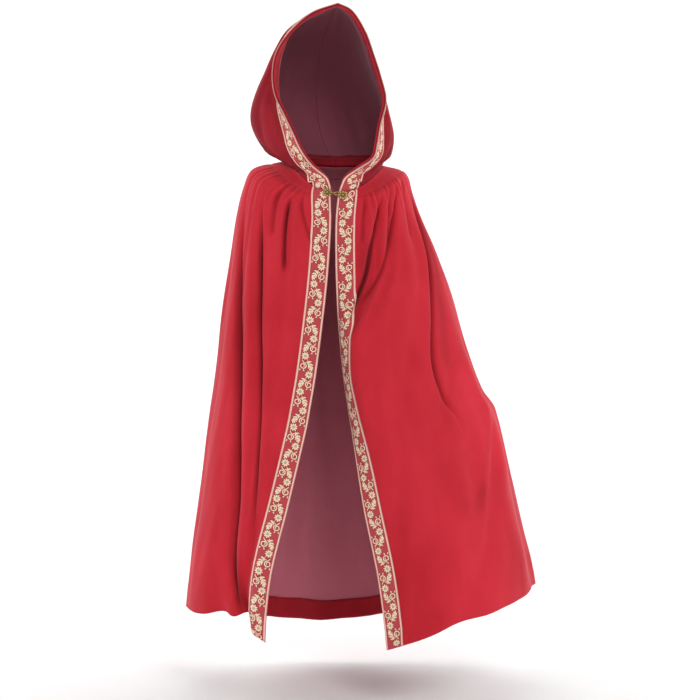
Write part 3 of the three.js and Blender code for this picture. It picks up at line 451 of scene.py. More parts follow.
@dataclass
class ClothForm:
    """The form of one cloth, from its rings and troughs.

    Attributes:
        rings: The rings, from the first level to the last.
        folds: The troughs and creases.
        waves: The slow unevenness of the cloth.
        outward: 1 or -1, so that the normals point out of the garment.
        ridge: Whether the last ring closes on itself.
        lift: How much a trough draws the hem up, as a share of its depth.
        tilt: The hem's rise to the right at the back.
        gathered: Whether the cloth is gathered at its seam.
        strokes: Strokes of painted shade, each darker than the rest, or a painted highlight where it is
            negative.
    """

    rings: tuple[Ring, ...]
    folds: tuple[Fold, ...]
    waves: tuple[Wave, ...]
    outward: float
    ridge: bool = False
    lift: float = 0.0
    tilt: float = 0.0
    gathered: bool = False
    strokes: tuple[Fold, ...] = ()

    def __post_init__(self) -> None:
        """Work out the rings' values and slopes as arrays."""
        self.at = np.array([ring.level for ring in self.rings])
        self.values = np.array([ring.stations() for ring in self.rings], float) * MM
        before = np.maximum(np.arange(len(self.at)) - 1, 0)
        after = np.minimum(np.arange(len(self.at)) + 1, len(self.at) - 1)
        span = (self.at[after] - self.at[before])[:, None, None]
        self.slopes = (self.values[after] - self.values[before]) / span
        self.first = float(self.at[0])
        self.last = float(self.at[-1])

    def stations(self, levels: np.ndarray) -> np.ndarray:
        """Return the seven vectors of the ring at each level, on a smooth curve through the rings."""
        i = np.clip(np.searchsorted(self.at, levels, side="right") - 1, 0, len(self.at) - 2)
        span = self.at[i + 1] - self.at[i]
        t = np.clip((levels - self.at[i]) / span, 0.0, 1.0)
        a, b, c = (
            x[:, None, None]
            for x in (t * t * (3 - 2 * t), t * (1 - t) ** 2 * span, t * t * (t - 1) * span)
        )
        low, high = self.values[i], self.values[i + 1]
        return low + (high - low) * a + self.slopes[i] * b + self.slopes[i + 1] * c

    def lowness(self, levels: np.ndarray) -> np.ndarray:
        """Return the share of the hem's own effects that each level has."""
        return smooth((levels - LIFT_FROM) / (self.last - LIFT_FROM))

    def base(self, around: np.ndarray, levels: np.ndarray) -> np.ndarray:
        """Return places on the rings, without folds.

        Args:
            around: Shares of the way round, a row for each level.
            levels: The level of each row.

        Returns:
            The places, in metres.
        """
        ring = self.stations(levels)[:, None]
        held = np.clip(around, 0.0, 1.0)
        quarter = np.minimum(3, np.floor(held * 4)).astype(int)
        isleft = (quarter < 2)[..., None]
        t = held * 4 - quarter
        t = np.where(quarter < 2, t, 1 - t)
        edge = np.where(isleft, ring[..., 0, :], ring[..., 6, :])
        lead = np.where(isleft, ring[..., 1, :], ring[..., 5, :])
        side = np.where(isleft, ring[..., 2, :], ring[..., 4, :])
        back = np.broadcast_to(ring[..., 3, :], side.shape)
        handle = side.copy()
        handle[..., 1] += HANDLE * (edge[..., 1] - side[..., 1])
        front = bezier((edge, edge + lead, handle, side), t)
        handle = side.copy()
        handle[..., 1] += HANDLE * (back[..., 1] - side[..., 1])
        aside = HANDLE * (side[..., 0] - back[..., 0])
        far = back.copy()
        far[..., 0] += aside
        far[..., 2] += self.tilt * self.lowness(levels)[:, None] * aside
        rear = bezier((side, handle, far, back), t)
        infront = ((quarter == 0) | (quarter == 3))[..., None]
        return np.where(infront, front, rear)

    def sums(self, levels: np.ndarray) -> np.ndarray:
        """Return the length run round each level's ring, at even shares of the way round."""
        around = np.broadcast_to(np.linspace(0, 1, LENGTH_STEPS + 1), (len(levels), LENGTH_STEPS + 1))
        steps = np.linalg.norm(np.diff(self.base(around, levels), axis=1), axis=2)
        return np.concatenate([np.zeros((len(levels), 1)), np.cumsum(steps, axis=1)], axis=1)

    @staticmethod
    def length_to(sums: np.ndarray, around: np.ndarray) -> np.ndarray:
        """Return the length run at shares of the way round, from the rings' sums."""
        place = np.clip(around, 0.0, 1.0) * LENGTH_STEPS
        i = np.minimum(LENGTH_STEPS - 1, np.floor(place).astype(int))
        low = np.take_along_axis(sums, i, axis=1)
        high = np.take_along_axis(sums, i + 1, axis=1)
        return low + (high - low) * (place - i)

    @staticmethod
    def around_at(sums: np.ndarray, distance: np.ndarray) -> np.ndarray:
        """Return the shares of the way round at lengths run, from the rings' sums."""
        shares = np.linspace(0, 1, LENGTH_STEPS + 1)
        return np.array([np.interp(d, s, shares) for d, s in zip(distance, sums)])

    def total(self, folds: Sequence[Fold], around: np.ndarray, levels: np.ndarray) -> np.ndarray:
        """Return the sum of some troughs, or of strokes of painted shade, at each place.

        Args:
            folds: The troughs or strokes.
            around: Shares of the way round, a row for each level.
            levels: The level of each row.

        Returns:
            Depths in millimetres, or darknesses of painted shade.
        """
        sums = self.sums(levels)
        reach = self.length_to(sums, around)
        depth = np.zeros_like(reach)
        for fold in folds:
            t = (levels - fold.top) / (fold.bottom - fold.top)
            live = (t > 0) & (t < 1)
            if not live.any():
                continue
            centre = fold.start + (fold.end - fold.start) * t + fold.bend * 4 * t * (1 - t)
            half = (fold.half[0] + (fold.half[1] - fold.half[0]) * t) * MM
            middle = self.length_to(sums, centre[:, None])
            away = (reach - middle) / np.where(live, half, 1.0)[:, None]
            away = away / (1 + fold.lean * np.sign(away))
            deep = fold.deep[0] + (fold.deep[1] - fold.deep[0]) * t
            deep = np.where(live, deep * smooth(t * 4) * smooth((1 - t) * 5), 0.0)
            near = np.abs(away) <= FOLD_REACH
            depth += deep[:, None] * np.exp(-np.where(near, away, FOLD_REACH) ** 2) * near
        return depth

    def fold_depth(self, around: np.ndarray, levels: np.ndarray) -> np.ndarray:
        """Return the depth of all the troughs at each place, in metres."""
        return self.total(self.folds, around, levels) * MM

    def nap_and_painted_shade(self, around: np.ndarray, levels: np.ndarray) -> np.ndarray:
        """Return texture coordinates whose first part is painted shade, from -1 for a painted highlight to
        1.

        The painted shade comes from the painted strokes and from the sharpest creases.
        """
        sharp = [fold for fold in self.folds if fold.half[0] < SHARP_HALF and fold.deep[0] > 0]
        painted_crease_shade = np.minimum(1.0, self.total(sharp, around, levels) * SHARP_PAINTED_SHADE)
        painted_shade = np.clip(painted_crease_shade + self.total(self.strokes, around, levels), -1.0, 1.0)
        return np.stack([painted_shade, np.zeros_like(painted_shade)], -1)

    def normals(self, surface: Surface, around: np.ndarray, levels: np.ndarray) -> np.ndarray:
        """Return the outward normals of a surface at each place."""
        ahead = surface(np.minimum(1.0, around + NORMAL_STEP), levels)
        behind = surface(np.maximum(0.0, around - NORMAL_STEP), levels)
        below = surface(around, np.minimum(self.last, levels + NORMAL_STEP))
        above = surface(around, np.maximum(self.first, levels - NORMAL_STEP))
        normal = unit(np.cross(ahead - behind, below - above)) * self.outward
        if self.ridge:
            spoke = unit(((ahead + behind) / 2 - np.array(HOOD_AXIS)) * np.array([1.0, 1.0, 0.0]))
            facing = np.sum(normal * spoke, axis=-1, keepdims=True)
            normal = np.where(facing < TURNED_BACK, -normal, normal)
            share = smooth((levels - (self.last - RIDGE_SOFTNESS)) / RIDGE_SOFTNESS)[:, None, None]
            normal = unit(normal * (1 - share) + np.array([0.0, 0.0, 1.0]) * share)
        return normal

    def folded(self, around: np.ndarray, levels: np.ndarray) -> np.ndarray:
        """Return places on the cloth with its troughs."""
        depth = self.fold_depth(around, levels)
        place = self.base(around, levels) - self.normals(self.base, around, levels) * depth[..., None]
        place[..., 2] += depth * self.lift * self.lowness(levels)[:, None]
        return place

    def gather_height(self, around: np.ndarray, levels: np.ndarray) -> np.ndarray:
        """Return the height of the gathers, each a round ridge between narrow valleys."""
        start = self.sums(np.zeros(1))
        run = np.interp(np.clip(around, 0, 1), np.linspace(0, 1, LENGTH_STEPS + 1), start[0])
        count = run / start[0, -1] * GATHERS
        count = count + 0.22 * np.sin(1.3 * count) + 0.12 * np.sin(2.9 * count + 1.0)
        index = np.arange(GATHERS + 1)
        peaks = 0.62 + 0.28 * np.sin(2.4 * index) + 0.22 * np.sin(5.1 * index + 1.0)
        uneven = np.interp(count, index + 0.25, peaks)
        share = np.interp(levels, GATHER_LEVELS, GATHER_SHARES, left=0.0, right=0.0)
        ridge = 1.0 - 2.0 * np.abs(np.sin(math.pi * (count - 0.25))) ** GATHER_SHARPNESS
        within = smooth(count - GATHERS_UNDER_RIBBON) * smooth(GATHERS - GATHERS_UNDER_RIBBON - count)
        for shoulder in SHOULDERS:
            within = within * (1 - SHOULDER_EASE * np.exp(-(((around - shoulder) / SHOULDER_HALF) ** 2)))
        return GATHER_DEPTH * uneven * share[:, None] * ridge * within

    def wave_height(self, around: np.ndarray, levels: np.ndarray) -> np.ndarray:
        """Return the cloth's slow unevenness, which dies away at its seams and under the ribbon."""
        height = np.zeros_like(around)
        for wave in self.waves:
            turn = wave.count * around + wave.drift * levels[:, None] + wave.phase
            height += wave.height * MM * np.sin(2 * math.pi * turn)
        sums = self.sums(levels)
        reach = self.length_to(sums, around)
        edge = np.minimum(reach, sums[:, -1:] - reach)
        share = smooth((edge - RIBBON_WIDTH) / WAVE_EDGE)
        rise = smooth((levels - self.first) / WAVE_RISE)
        if not self.ridge:
            return height * share * rise[:, None]
        rise = rise * smooth((self.last - levels) / WAVE_RISE)
        shown = np.interp(levels, SINK_LEVELS, (0.0, 1.0, 1.0, 0.0))
        sink = SINK_DEPTH * shown[:, None] * np.exp(-(((edge - SINK_AT) / SINK_HALF) ** 2))
        return height * share * rise[:, None] - sink

    def surface(self, around: np.ndarray, levels: np.ndarray) -> tuple[np.ndarray, np.ndarray]:
        """Return places on the finished cloth and its normals there."""
        normal = self.normals(self.folded, around, levels)
        height = self.wave_height(around, levels)
        if self.gathered:
            height = height + self.gather_height(around, levels)
        return self.folded(around, levels) + normal * height[..., None], normal

    def squareness(self, side: Side, levels: np.ndarray) -> tuple[np.ndarray, np.ndarray]:
        """Return the sine and cosine between each ring and its front edge."""
        at = float(side.value)
        inwards = NORMAL_STEP * 4 if side is Side.LEFT else 1.0 - NORMAL_STEP * 4
        column = np.ones((len(levels), 1))
        low = np.maximum(self.first, levels - NORMAL_STEP * 8)
        high = np.minimum(self.last, levels + NORMAL_STEP * 8)
        turn = unit(self.base(inwards * column, levels) - self.base(at * column, levels))
        along = unit(self.base(at * column, high) - self.base(at * column, low))
        dot = np.sum(turn * along, axis=-1)[:, 0]
        return np.sqrt(np.maximum(0.0, 1.0 - dot**2)), dot


@dataclass(frozen=True)
class Signal:
    """A socket of a shader whose arithmetic makes Math nodes."""

    graph: "Graph"
    socket: bpy.types.NodeSocket

    def math(self, operation: str, other: "float | Signal" = 0.0, swapped: bool = False) -> "Signal":
        """Return the result of a Math node.

        Args:
            operation: The node's operation.
            other: The second value.
            swapped: Whether the second value comes first.

        Returns:
            The node's output.
        """
        values = {0: other, 1: self} if swapped else {0: self, 1: other}
        node = self.graph.add("ShaderNodeMath", {"operation": operation}, values)
        return Signal(self.graph, node.outputs[0])

    def __add__(self, other: "float | Signal") -> "Signal":
        """Return the sum."""
        return self.math("ADD", other)

    def __radd__(self, other: float) -> "Signal":
        """Return the sum."""
        return self.math("ADD", other)

    def __sub__(self, other: "float | Signal") -> "Signal":
        """Return the difference."""
        return self.math("SUBTRACT", other)

    def __rsub__(self, other: float) -> "Signal":
        """Return the difference from a number."""
        return self.math("SUBTRACT", other, swapped=True)

    def __mul__(self, other: "float | Signal") -> "Signal":
        """Return the product."""
        return self.math("MULTIPLY", other)

    def __rmul__(self, other: float) -> "Signal":
        """Return the product."""
        return self.math("MULTIPLY", other)

    def __truediv__(self, other: "float | Signal") -> "Signal":
        """Return the quotient."""
        return self.math("DIVIDE", other)

    def clamped(self) -> "Signal":
        """Return the value held between 0 and 1."""
        return self.math("MAXIMUM", 0.0).math("MINIMUM", 1.0)

    def sine(self) -> "Signal":
        """Return the sine."""
        return self.math("SINE")

    def size(self) -> "Signal":
        """Return the value without its sign."""
        return self.math("ABSOLUTE")

    def power(self, exponent: float) -> "Signal":
        """Return the value to a power."""
        return self.math("POWER", exponent)

    def within(self, low: float, high: float, soft: float) -> "Signal":
        """Return 1 between two limits and 0 outside, with soft ends."""
        rise = ((self - low) / soft + 0.5).clamped()
        fall = ((high - self) / soft + 0.5).clamped()
        return rise * fall


class Graph:
    """The node graph of one material."""

    def __init__(self, name: str) -> None:
        """Make an empty material.

        Args:
            name: The material's name.
        """
        self.material = bpy.data.materials.new(name)
        self.material.use_nodes = True
        self.tree = self.material.node_tree
        self.tree.nodes.clear()

    def add(
        self,
        kind: str,
        settings: Mapping[str, object] | None = None,
        values: Mapping[str | int, object] | None = None,
    ) -> bpy.types.Node:
        """Make a node.

        Args:
            kind: The node's type.
            settings: Its settings, which are set first.
            values: Numbers, colours or signals for its sockets, by name or place.

        Returns:
            The node.
        """
        node = self.tree.nodes.new(kind)
        for key, value in (settings or {}).items():
            setattr(node, key, value)
        for key, value in (values or {}).items():
            socket = node.inputs[key]
            if isinstance(value, Signal):
                self.tree.links.new(value.socket, socket)
            else:
                socket.default_value = value
        return node

    def signal(self, node: bpy.types.Node, output: str | int = 0) -> Signal:
        """Return one output of a node."""
        return Signal(self, node.outputs[output])

    def mix(self, share: Signal | float, first: object, second: object) -> Signal:
        """Return a colour between two colours."""
        values = {0: share, 6: first, 7: second}
        return self.signal(self.add("ShaderNodeMix", {"data_type": "RGBA"}, values), 2)

    def place(self, kind: str = "Object") -> Signal:
        """Return the place on the object, in metres, or another coordinate."""
        return self.signal(self.add("ShaderNodeTexCoord"), kind)

    def parts(self, vector: Signal) -> tuple[Signal, Signal, Signal]:
        """Return a vector's three parts."""
        node = self.add("ShaderNodeSeparateXYZ", {}, {0: vector})
        return self.signal(node, 0), self.signal(node, 1), self.signal(node, 2)

    def scaled(self, vector: Signal, scale: Point) -> Signal:
        """Return a vector with its parts scaled."""
        values = {0: vector, 1: scale}
        return self.signal(self.add("ShaderNodeVectorMath", {"operation": "MULTIPLY"}, values))

    def noise(self, vector: Signal, scale: float, detail: float = 2.0, rough: float = 0.5) -> Signal:
        """Return a smooth noise between 0 and 1."""
        values = {"Vector": vector, "Scale": scale, "Detail": detail, "Roughness": rough}
        return self.signal(self.add("ShaderNodeTexNoise", {}, values), "Fac")

    def bump(self, height: Signal, distance: float, strength: float = 1.0) -> Signal:
        """Return the normal of a bumped surface."""
        values = {"Strength": strength, "Distance": distance, "Height": height}
        return self.signal(self.add("ShaderNodeBump", {}, values), "Normal")

    def principled(self, values: Mapping[str | int, object]) -> bpy.types.Material:
        """Finish the material with one surface.

        Args:
            values: Numbers, colours or signals for the surface's sockets.

        Returns:
            The material.
        """
        surface = self.add("ShaderNodeBsdfPrincipled", {}, values)
        self.add("ShaderNodeOutputMaterial", {}, {"Surface": self.signal(surface)})
        return self.material


@dataclass(frozen=True)
class VelvetFinish:
    """A short-pile velvet: its colours, its sheen and the strength of its pile's unevenness, with painted
    shade and painted highlight laid in from its texture coordinates.
    """

    name: str
    shade: Colour
    light: Colour
    # The darkest colour of the painted shade, in the creases and the darkest strokes
    deep: Colour
    sheen_tint: Colour = (1.0, 0.36, 0.42, 1.0)
    sheen: float = 0.4
    nap_and_painted_shade: float = 1.0

    def material(self) -> bpy.types.Material:
        """Return the velvet."""
        graph = Graph(self.name)
        place = graph.place()
        brushed = graph.noise(graph.scaled(place, (1.0, 1.0, 0.22)), 26.0, 3.0)
        patches = graph.noise(place, 9.0, 3.0, 0.6)
        pile = graph.noise(place, 1500.0, 1.0)
        tone = brushed * 0.45 + patches * 0.45 + pile * 0.25
        # The texture coordinates' first part is painted shade: above 0 it draws the velvet towards its
        # shade colour and then its deep colour, and below 0 it is a painted highlight
        painted_shade, _, _ = graph.parts(graph.place("UV"))
        share = ((tone - 0.575) * 1.9 * self.nap_and_painted_shade + 0.5 - painted_shade * 0.7).clamped()
        brushed_velvet_with_painted_shade = graph.mix(share, self.shade, self.light)
        fibre = graph.bump(pile * 0.7 + brushed * 0.5, 0.0004, 0.35)
        return graph.principled({
            "Base Color": graph.mix((painted_shade * 1.1 - 0.1).clamped(), brushed_velvet_with_painted_shade, self.deep),
            "Roughness": 0.9,
            "Specular IOR Level": 0.15,
            "Sheen Weight": self.sheen,
            "Sheen Roughness": 0.38,
            "Sheen Tint": self.sheen_tint,
            "Normal": fibre,
        })


@dataclass(frozen=True)
class BackFinish:
    """The wrong side of a velvet: a plain knit ground with fine courses."""

    name: str
    colour: Colour
    shade: Colour

    def material(self) -> bpy.types.Material:
        """Return the wrong side."""
        graph = Graph(self.name)
        place = graph.place()
        _, _, height = graph.parts(place)
        courses = (height * (2 * math.pi / (1.1 * MM))).sine()
        speckle = graph.noise(place, 900.0, 2.0)
        share = (speckle * 0.8 + courses * 0.1 + graph.noise(place, 14.0) * 0.4 - 0.15).clamped()
        return graph.principled({
            "Base Color": graph.mix(share, self.shade, self.colour),
            "Roughness": 0.95,
            "Specular IOR Level": 0.1,
            "Sheen Weight": 0.2,
            "Sheen Roughness": 0.5,
            "Normal": graph.bump(courses * 0.5 + speckle, 0.0003, 0.4),
        })


@dataclass(frozen=True)
class RibbonFinish:
    """The ribbon's ground and its plain borders, woven with fine ribs across its length."""

    name: str
    ground: Colour
    border: Colour
    line: Colour

    def material(self) -> bpy.types.Material:
        """Return the ribbon."""
        graph = Graph(self.name)
        across, along, _ = graph.parts(graph.place("UV"))
        ribs = (along * (2 * math.pi / (0.9 * MM))).sine()
        warp = (across * (2 * math.pi / (0.6 * MM))).sine()
        from_middle = (across - RIBBON_WIDTH / 2).size()
        inner = RIBBON_WIDTH / 2 - BORDER_WIDTH
        border = from_middle.within(inner, RIBBON_WIDTH, 0.25 * MM)
        lines = from_middle.within(inner - LINE_WIDTH, inner, 0.2 * MM)
        rim = from_middle.within(RIBBON_WIDTH / 2 - LINE_WIDTH, RIBBON_WIDTH, 0.2 * MM)
        speckle = graph.noise(graph.place(), 1100.0, 2.0)
        cloth = graph.mix(border, self.ground, self.border)
        lined = graph.mix((lines + rim * 0.6).clamped(), cloth, self.line)
        worn = graph.mix((speckle * 0.9 - 0.25).clamped() * 0.35, lined, self.line)
        return graph.principled({
            "Base Color": worn,
            "Roughness": 0.72,
            "Specular IOR Level": 0.3,
            "Sheen Weight": 0.15,
            "Normal": graph.bump(ribs * 0.6 + warp * 0.4, 0.00025, 0.5),
        })


@dataclass(frozen=True)
class ThreadFinish:
    """A woven or sewn thread of one colour, in satin floats."""

    name: str
    colour: Colour
    shade: Colour
    roughness: float = 0.6

    def material(self) -> bpy.types.Material:
        """Return the thread."""
        graph = Graph(self.name)
        place = graph.place()
        across, _, height = graph.parts(place)
        floats = ((height * 0.8 + across * 0.6) * (2 * math.pi / (0.7 * MM))).sine()
        share = (graph.noise(place, 700.0, 2.0) + floats * 0.2).clamped()
        return graph.principled({
            "Base Color": graph.mix(share, self.shade, self.colour),
            "Roughness": self.roughness,
            "Specular IOR Level": 0.35,
            "Normal": graph.bump(floats, 0.0002, 0.4),
        })


@dataclass(frozen=True)
class BrassFinish:
    """Aged brass, dark in its hollows and rubbed bright on its high parts."""

    name: str
    bright: Colour
    dark: Colour

    def material(self) -> bpy.types.Material:
        """Return the brass."""
        graph = Graph(self.name)
        place = graph.place()
        hollows = graph.add("ShaderNodeAmbientOcclusion", {"samples": 4}, {"Distance": 1.5 * MM})
        grime = graph.signal(hollows, "AO")
        spots = graph.noise(place, 420.0, 3.0)
        share = (grime.power(3.0) * 1.3 + spots * 0.6 - 0.8).clamped()
        return graph.principled({
            "Base Color": graph.mix(share, self.dark, self.bright),
            "Metallic": 0.9,
            "Roughness": 0.56 - 0.24 * share,
            "Normal": graph.bump(spots, 0.0002, 0.5),
        })


@dataclass(frozen=True)
class PlainFinish:
    """A plain matt surface for the studio, which is clear where it is seen from behind."""

    name: str
    colour: Colour

    def material(self) -> bpy.types.Material:
        """Return the surface."""
        graph = Graph(self.name)
        plain = graph.add("ShaderNodeBsdfPrincipled", {}, {"Base Color": self.colour, "Roughness": 0.95})
        behind = graph.signal(graph.add("ShaderNodeNewGeometry"), "Backfacing")
        clear = graph.signal(graph.add("ShaderNodeBsdfTransparent"))
        shown = graph.add("ShaderNodeMixShader", {}, {0: behind, 1: graph.signal(plain), 2: clear})
        graph.add("ShaderNodeOutputMaterial", {}, {"Surface": graph.signal(shown)})
        return graph.material


@dataclass
class MeshParts:
    """Vertices and faces gathered for one mesh.

    Attributes:
        vertices: Arrays of vertices.
        faces: Arrays of faces, each with three or four corners a row.
        kinds: The material of each face, in step with faces.
        coordinates: Texture coordinates of each vertex, in step with vertices.
    """

    vertices: list[np.ndarray] = field(default_factory=list)
    faces: list[np.ndarray] = field(default_factory=list)
    kinds: list[np.ndarray] = field(default_factory=list)
    coordinates: list[np.ndarray] = field(default_factory=list)
    count: int = 0

    def add_vertices(self, places: np.ndarray, coordinates: np.ndarray | None = None) -> int:
        """Add vertices and return the number of the first.

        Args:
            places: The vertices' places.
            coordinates: Their texture coordinates.

        Returns:
            The first vertex's number.
        """
        flat = places.reshape(-1, 3)
        self.vertices.append(flat)
        self.coordinates.append(
            np.zeros((len(flat), 2)) if coordinates is None else coordinates.reshape(-1, 2)
        )
        self.count += len(flat)
        return self.count - len(flat)

    def add_faces(self, faces: np.ndarray, kind: int = 0) -> None:
        """Add faces of one material."""
        self.faces.append(faces)
        self.kinds.append(np.full(len(faces), kind))

    def build(self, name: str, finishes: Sequence[bpy.types.Material]) -> bpy.types.Object:
        """Make the object.

        Args:
            name: The object's name.
            finishes: Its materials, in the order of the faces' kinds.

        Returns:
            The object, smooth shaded.
        """
        vertices = np.concatenate(self.vertices)
        corners = np.concatenate([faces.reshape(-1) for faces in self.faces])
        totals = np.concatenate([np.full(len(faces), faces.shape[1]) for faces in self.faces])
        mesh = bpy.data.meshes.new(name)
        mesh.vertices.add(len(vertices))
        mesh.vertices.foreach_set("co", vertices.astype(np.float32).ravel())
        mesh.loops.add(len(corners))
        mesh.loops.foreach_set("vertex_index", corners.astype(np.int32))
        mesh.polygons.add(len(totals))
        starts = np.concatenate([[0], np.cumsum(totals)[:-1]])
        mesh.polygons.foreach_set("loop_start", starts.astype(np.int32))
        mesh.polygons.foreach_set("material_index", np.concatenate(self.kinds).astype(np.int32))
        mesh.polygons.foreach_set("use_smooth", np.ones(len(totals), bool))
        # The texture coordinates hold the ribbon's weave, and the painted shade and painted highlight on
        # the velvet
        layer = mesh.uv_layers.new(name="weave")
        coordinates = np.concatenate(self.coordinates)[corners]
        layer.data.foreach_set("uv", coordinates.astype(np.float32).ravel())
        for finish in finishes:
            mesh.materials.append(finish)
        mesh.update(calc_edges=True)
        mesh.validate()
        made = bpy.data.objects.new(name, mesh)
        bpy.context.scene.collection.objects.link(made)
        return made


@dataclass(frozen=True)
class Rims:
    """How far each rim of a wall rounds out beyond its edge, in metres."""

    top: float = 0.0
    bottom: float = 0.0
    left: float = 0.0
    right: float = 0.0


@dataclass
class Wall:
    """A closed thin wall on a grid of places.

    Attributes:
        places: Rows and columns of places on the cloth.
        normals: The outward normal at each place.
        outer: The outer face's height over the places.
        inner: The inner face's height over the places.
        rims: How the rims round out.
        coordinates: Texture coordinates of each place.
        tuck: How far the inner face's first row hangs at the back, as a seam allowance.
        allowance: How many of the inner face's first rows show the right side, turned in.
    """

    places: np.ndarray
    normals: np.ndarray
    outer: float | np.ndarray
    inner: float | np.ndarray
    rims: Rims = Rims()
    coordinates: np.ndarray | None = None
    tuck: float = 0.0
    allowance: int = 0

    def boundary(self) -> tuple[np.ndarray, np.ndarray]:
        """Return the boundary's vertices in order, and the way out beyond the edge at each."""
        rows, columns = self.places.shape[:2]
        number = np.arange(rows * columns).reshape(rows, columns)
        loop = np.concatenate([
            number[0, :-1], number[:-1, -1], number[-1, :0:-1], number[:0:-1, 0],
        ])
        out = np.zeros_like(self.places)
        out[0] += self.rims.top * unit(self.places[0] - self.places[1])
        out[-1] += self.rims.bottom * unit(self.places[-1] - self.places[-2])
        out[:, 0] += self.rims.left * unit(self.places[:, 0] - self.places[:, 1])
        out[:, -1] += self.rims.right * unit(self.places[:, -1] - self.places[:, -2])
        return loop, out.reshape(-1, 3)[loop]

    def add_to(self, parts: MeshParts, kinds: tuple[int, int] = (0, 1)) -> None:
        """Add the wall to a mesh.

        Args:
            parts: The mesh's parts.
            kinds: The materials of the outer and the inner face.
        """
        rows, columns = self.places.shape[:2]
        outer = np.asarray(self.outer)[..., None] if np.ndim(self.outer) else self.outer
        inner = np.asarray(self.inner)[..., None] if np.ndim(self.inner) else self.inner
        faces_out = self.places + self.normals * outer
        faces_in = self.places + self.normals * inner
        faces_in[0, :, 2] -= self.tuck * np.clip(self.normals[0, :, 1], 0.0, 1.0)
        loop, out = self.boundary()
        middle = (faces_out + faces_in).reshape(-1, 3)[loop] / 2 + out
        first = parts.add_vertices(faces_out, self.coordinates)
        second = parts.add_vertices(faces_in, self.coordinates)
        edge = None if self.coordinates is None else self.coordinates.reshape(-1, 2)[loop]
        third = parts.add_vertices(middle, edge)
        number = np.arange(rows * columns).reshape(rows, columns)
        a, b = number[:-1, :-1].ravel(), number[:-1, 1:].ravel()
        c, d = number[1:, 1:].ravel(), number[1:, :-1].ravel()
        following = np.roll(loop, -1)
        here = third + np.arange(len(loop))
        there = np.roll(here, -1)
        turned = self.allowance * (columns - 1)
        under = np.stack([a, d, c, b], 1) + second
        groups = [
            (np.stack([a, b, c, d], 1) + first, kinds[0]),
            (under[:turned], kinds[0]),
            (under[turned:], kinds[1]),
            (np.stack([following + first, loop + first, here, there], 1), kinds[0]),
            (np.stack([there, here, loop + second, following + second], 1), kinds[0]),
        ]
        turn = np.cross(
            self.places[:-1, 1:] - self.places[:-1, :-1], self.places[1:, :-1] - self.places[:-1, :-1]
        )
        flipped = np.sum(turn * self.normals[:-1, :-1]) < 0
        for faces, kind in groups:
            parts.add_faces(faces[:, ::-1] if flipped else faces, kind)


def along_path(places: np.ndarray) -> np.ndarray:
    """Return the length run to each place of a path."""
    steps = np.linalg.norm(np.diff(places, axis=0), axis=1)
    return np.concatenate([[0.0], np.cumsum(steps)])


@dataclass
class Edging:
    """The strip of cloth along a front or face edge, which the ribbon is sewn to.

    Attributes:
        places: Places by row along the edge and column away from it.
        normals: The outward normals there.
        distances: How far round its ring each column lies from the edge.
        square: The sine between ring and edge, for each row.
        slant: The cosine between ring and edge, for each row.
    """

    places: np.ndarray
    normals: np.ndarray
    distances: np.ndarray
    square: np.ndarray
    slant: np.ndarray

    def __post_init__(self) -> None:
        """Measure the edge."""
        self.run = along_path(self.places[:, 0])
        self.length = float(self.run[-1])

    @classmethod
    def beside(cls, form: ClothForm, side: Side, levels: np.ndarray) -> "Edging":
        """Return the strip beside one edge of a cloth.

        Args:
            form: The cloth's form.
            side: The side whose edge it is.
            levels: The levels of its rows.

        Returns:
            The strip.
        """
        distances = np.linspace(0.0, RIBBON_WIDTH / LEAST_SQUARE, EDGING_COLUMNS)
        sums = form.sums(levels)
        reach = np.broadcast_to(distances, (len(levels), EDGING_COLUMNS))
        if side is Side.RIGHT:
            reach = sums[:, -1:] - reach
        places, normals = form.surface(form.around_at(sums, reach), levels)
        square, slant = form.squareness(side, levels)
        return cls(places, normals, distances, square, slant)

    @classmethod
    def joined(cls, up: "Edging", down: "Edging") -> "Edging":
        """Return two strips as one run, the second from its end back to its start."""
        shared = (up.places[-1:] + down.places[-1:]) / 2
        between = unit(up.normals[-1:] + down.normals[-1:])
        return cls(
            np.concatenate([up.places[:-1], shared, down.places[-2::-1]]),
            np.concatenate([up.normals[:-1], between, down.normals[-2::-1]]),
            up.distances,
            np.concatenate([up.square[:-1], down.square[::-1]]),
            np.concatenate([up.slant[:-1], -down.slant[::-1]]),
        )

    def at(self, across: np.ndarray, along: np.ndarray) -> tuple[np.ndarray, np.ndarray]:
        """Return places and normals on the strip.

        Args:
            across: Distances from the edge, square to it.
            along: Lengths along the edge from its start.

        Returns:
            The places and the normals.
        """
        square = np.maximum(LEAST_SQUARE, np.interp(along, self.run, self.square))
        slant = np.interp(along, self.run, self.slant)
        distance = across / square
        ends = smooth(np.minimum(along, self.length - along) / (20 * MM))
        shifted = np.clip(along - slant * distance * ends, 0.0, self.length)
        row = np.interp(shifted, self.run, np.arange(len(self.run)))
        column = distance / (self.distances[1] - self.distances[0])
        return self.between(self.places, row, column), unit(self.between(self.normals, row, column))

    @staticmethod
    def between(grid: np.ndarray, row: np.ndarray, column: np.ndarray) -> np.ndarray:
        """Return a grid's values at shares between its rows and columns."""
        i = np.clip(np.floor(row).astype(int), 0, grid.shape[0] - 2)
        j = np.clip(np.floor(column).astype(int), 0, grid.shape[1] - 2)
        s, t = (row - i)[..., None], (column - j)[..., None]
        upper = grid[i, j] * (1 - t) + grid[i, j + 1] * t
        lower = grid[i + 1, j] * (1 - t) + grid[i + 1, j + 1] * t
        return upper * (1 - s) + lower * s


class Piece:
    """What every piece of the cape shares: its node and its place on the part."""

    def settle(self, made: bpy.types.Object, slot: str, *nodes: str) -> bpy.types.Object:
        """Put a finished object on the part.

        Args:
            made: The object.
            slot: The record's material slot; not used.
            nodes: The nodes of the frame that it stands for.

        Returns:
            The object.
        """
        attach(made, "root")
        if nodes:
            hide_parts(*nodes)
        LOG.info("%s: %d faces", made.name, len(made.data.polygons))
        return made


@dataclass(frozen=True)
class Cut:
    """The flat cut of a cloth before it was sewn: its width, length and area."""

    width: float
    length: float
    area: float
    held: str = "gathered"


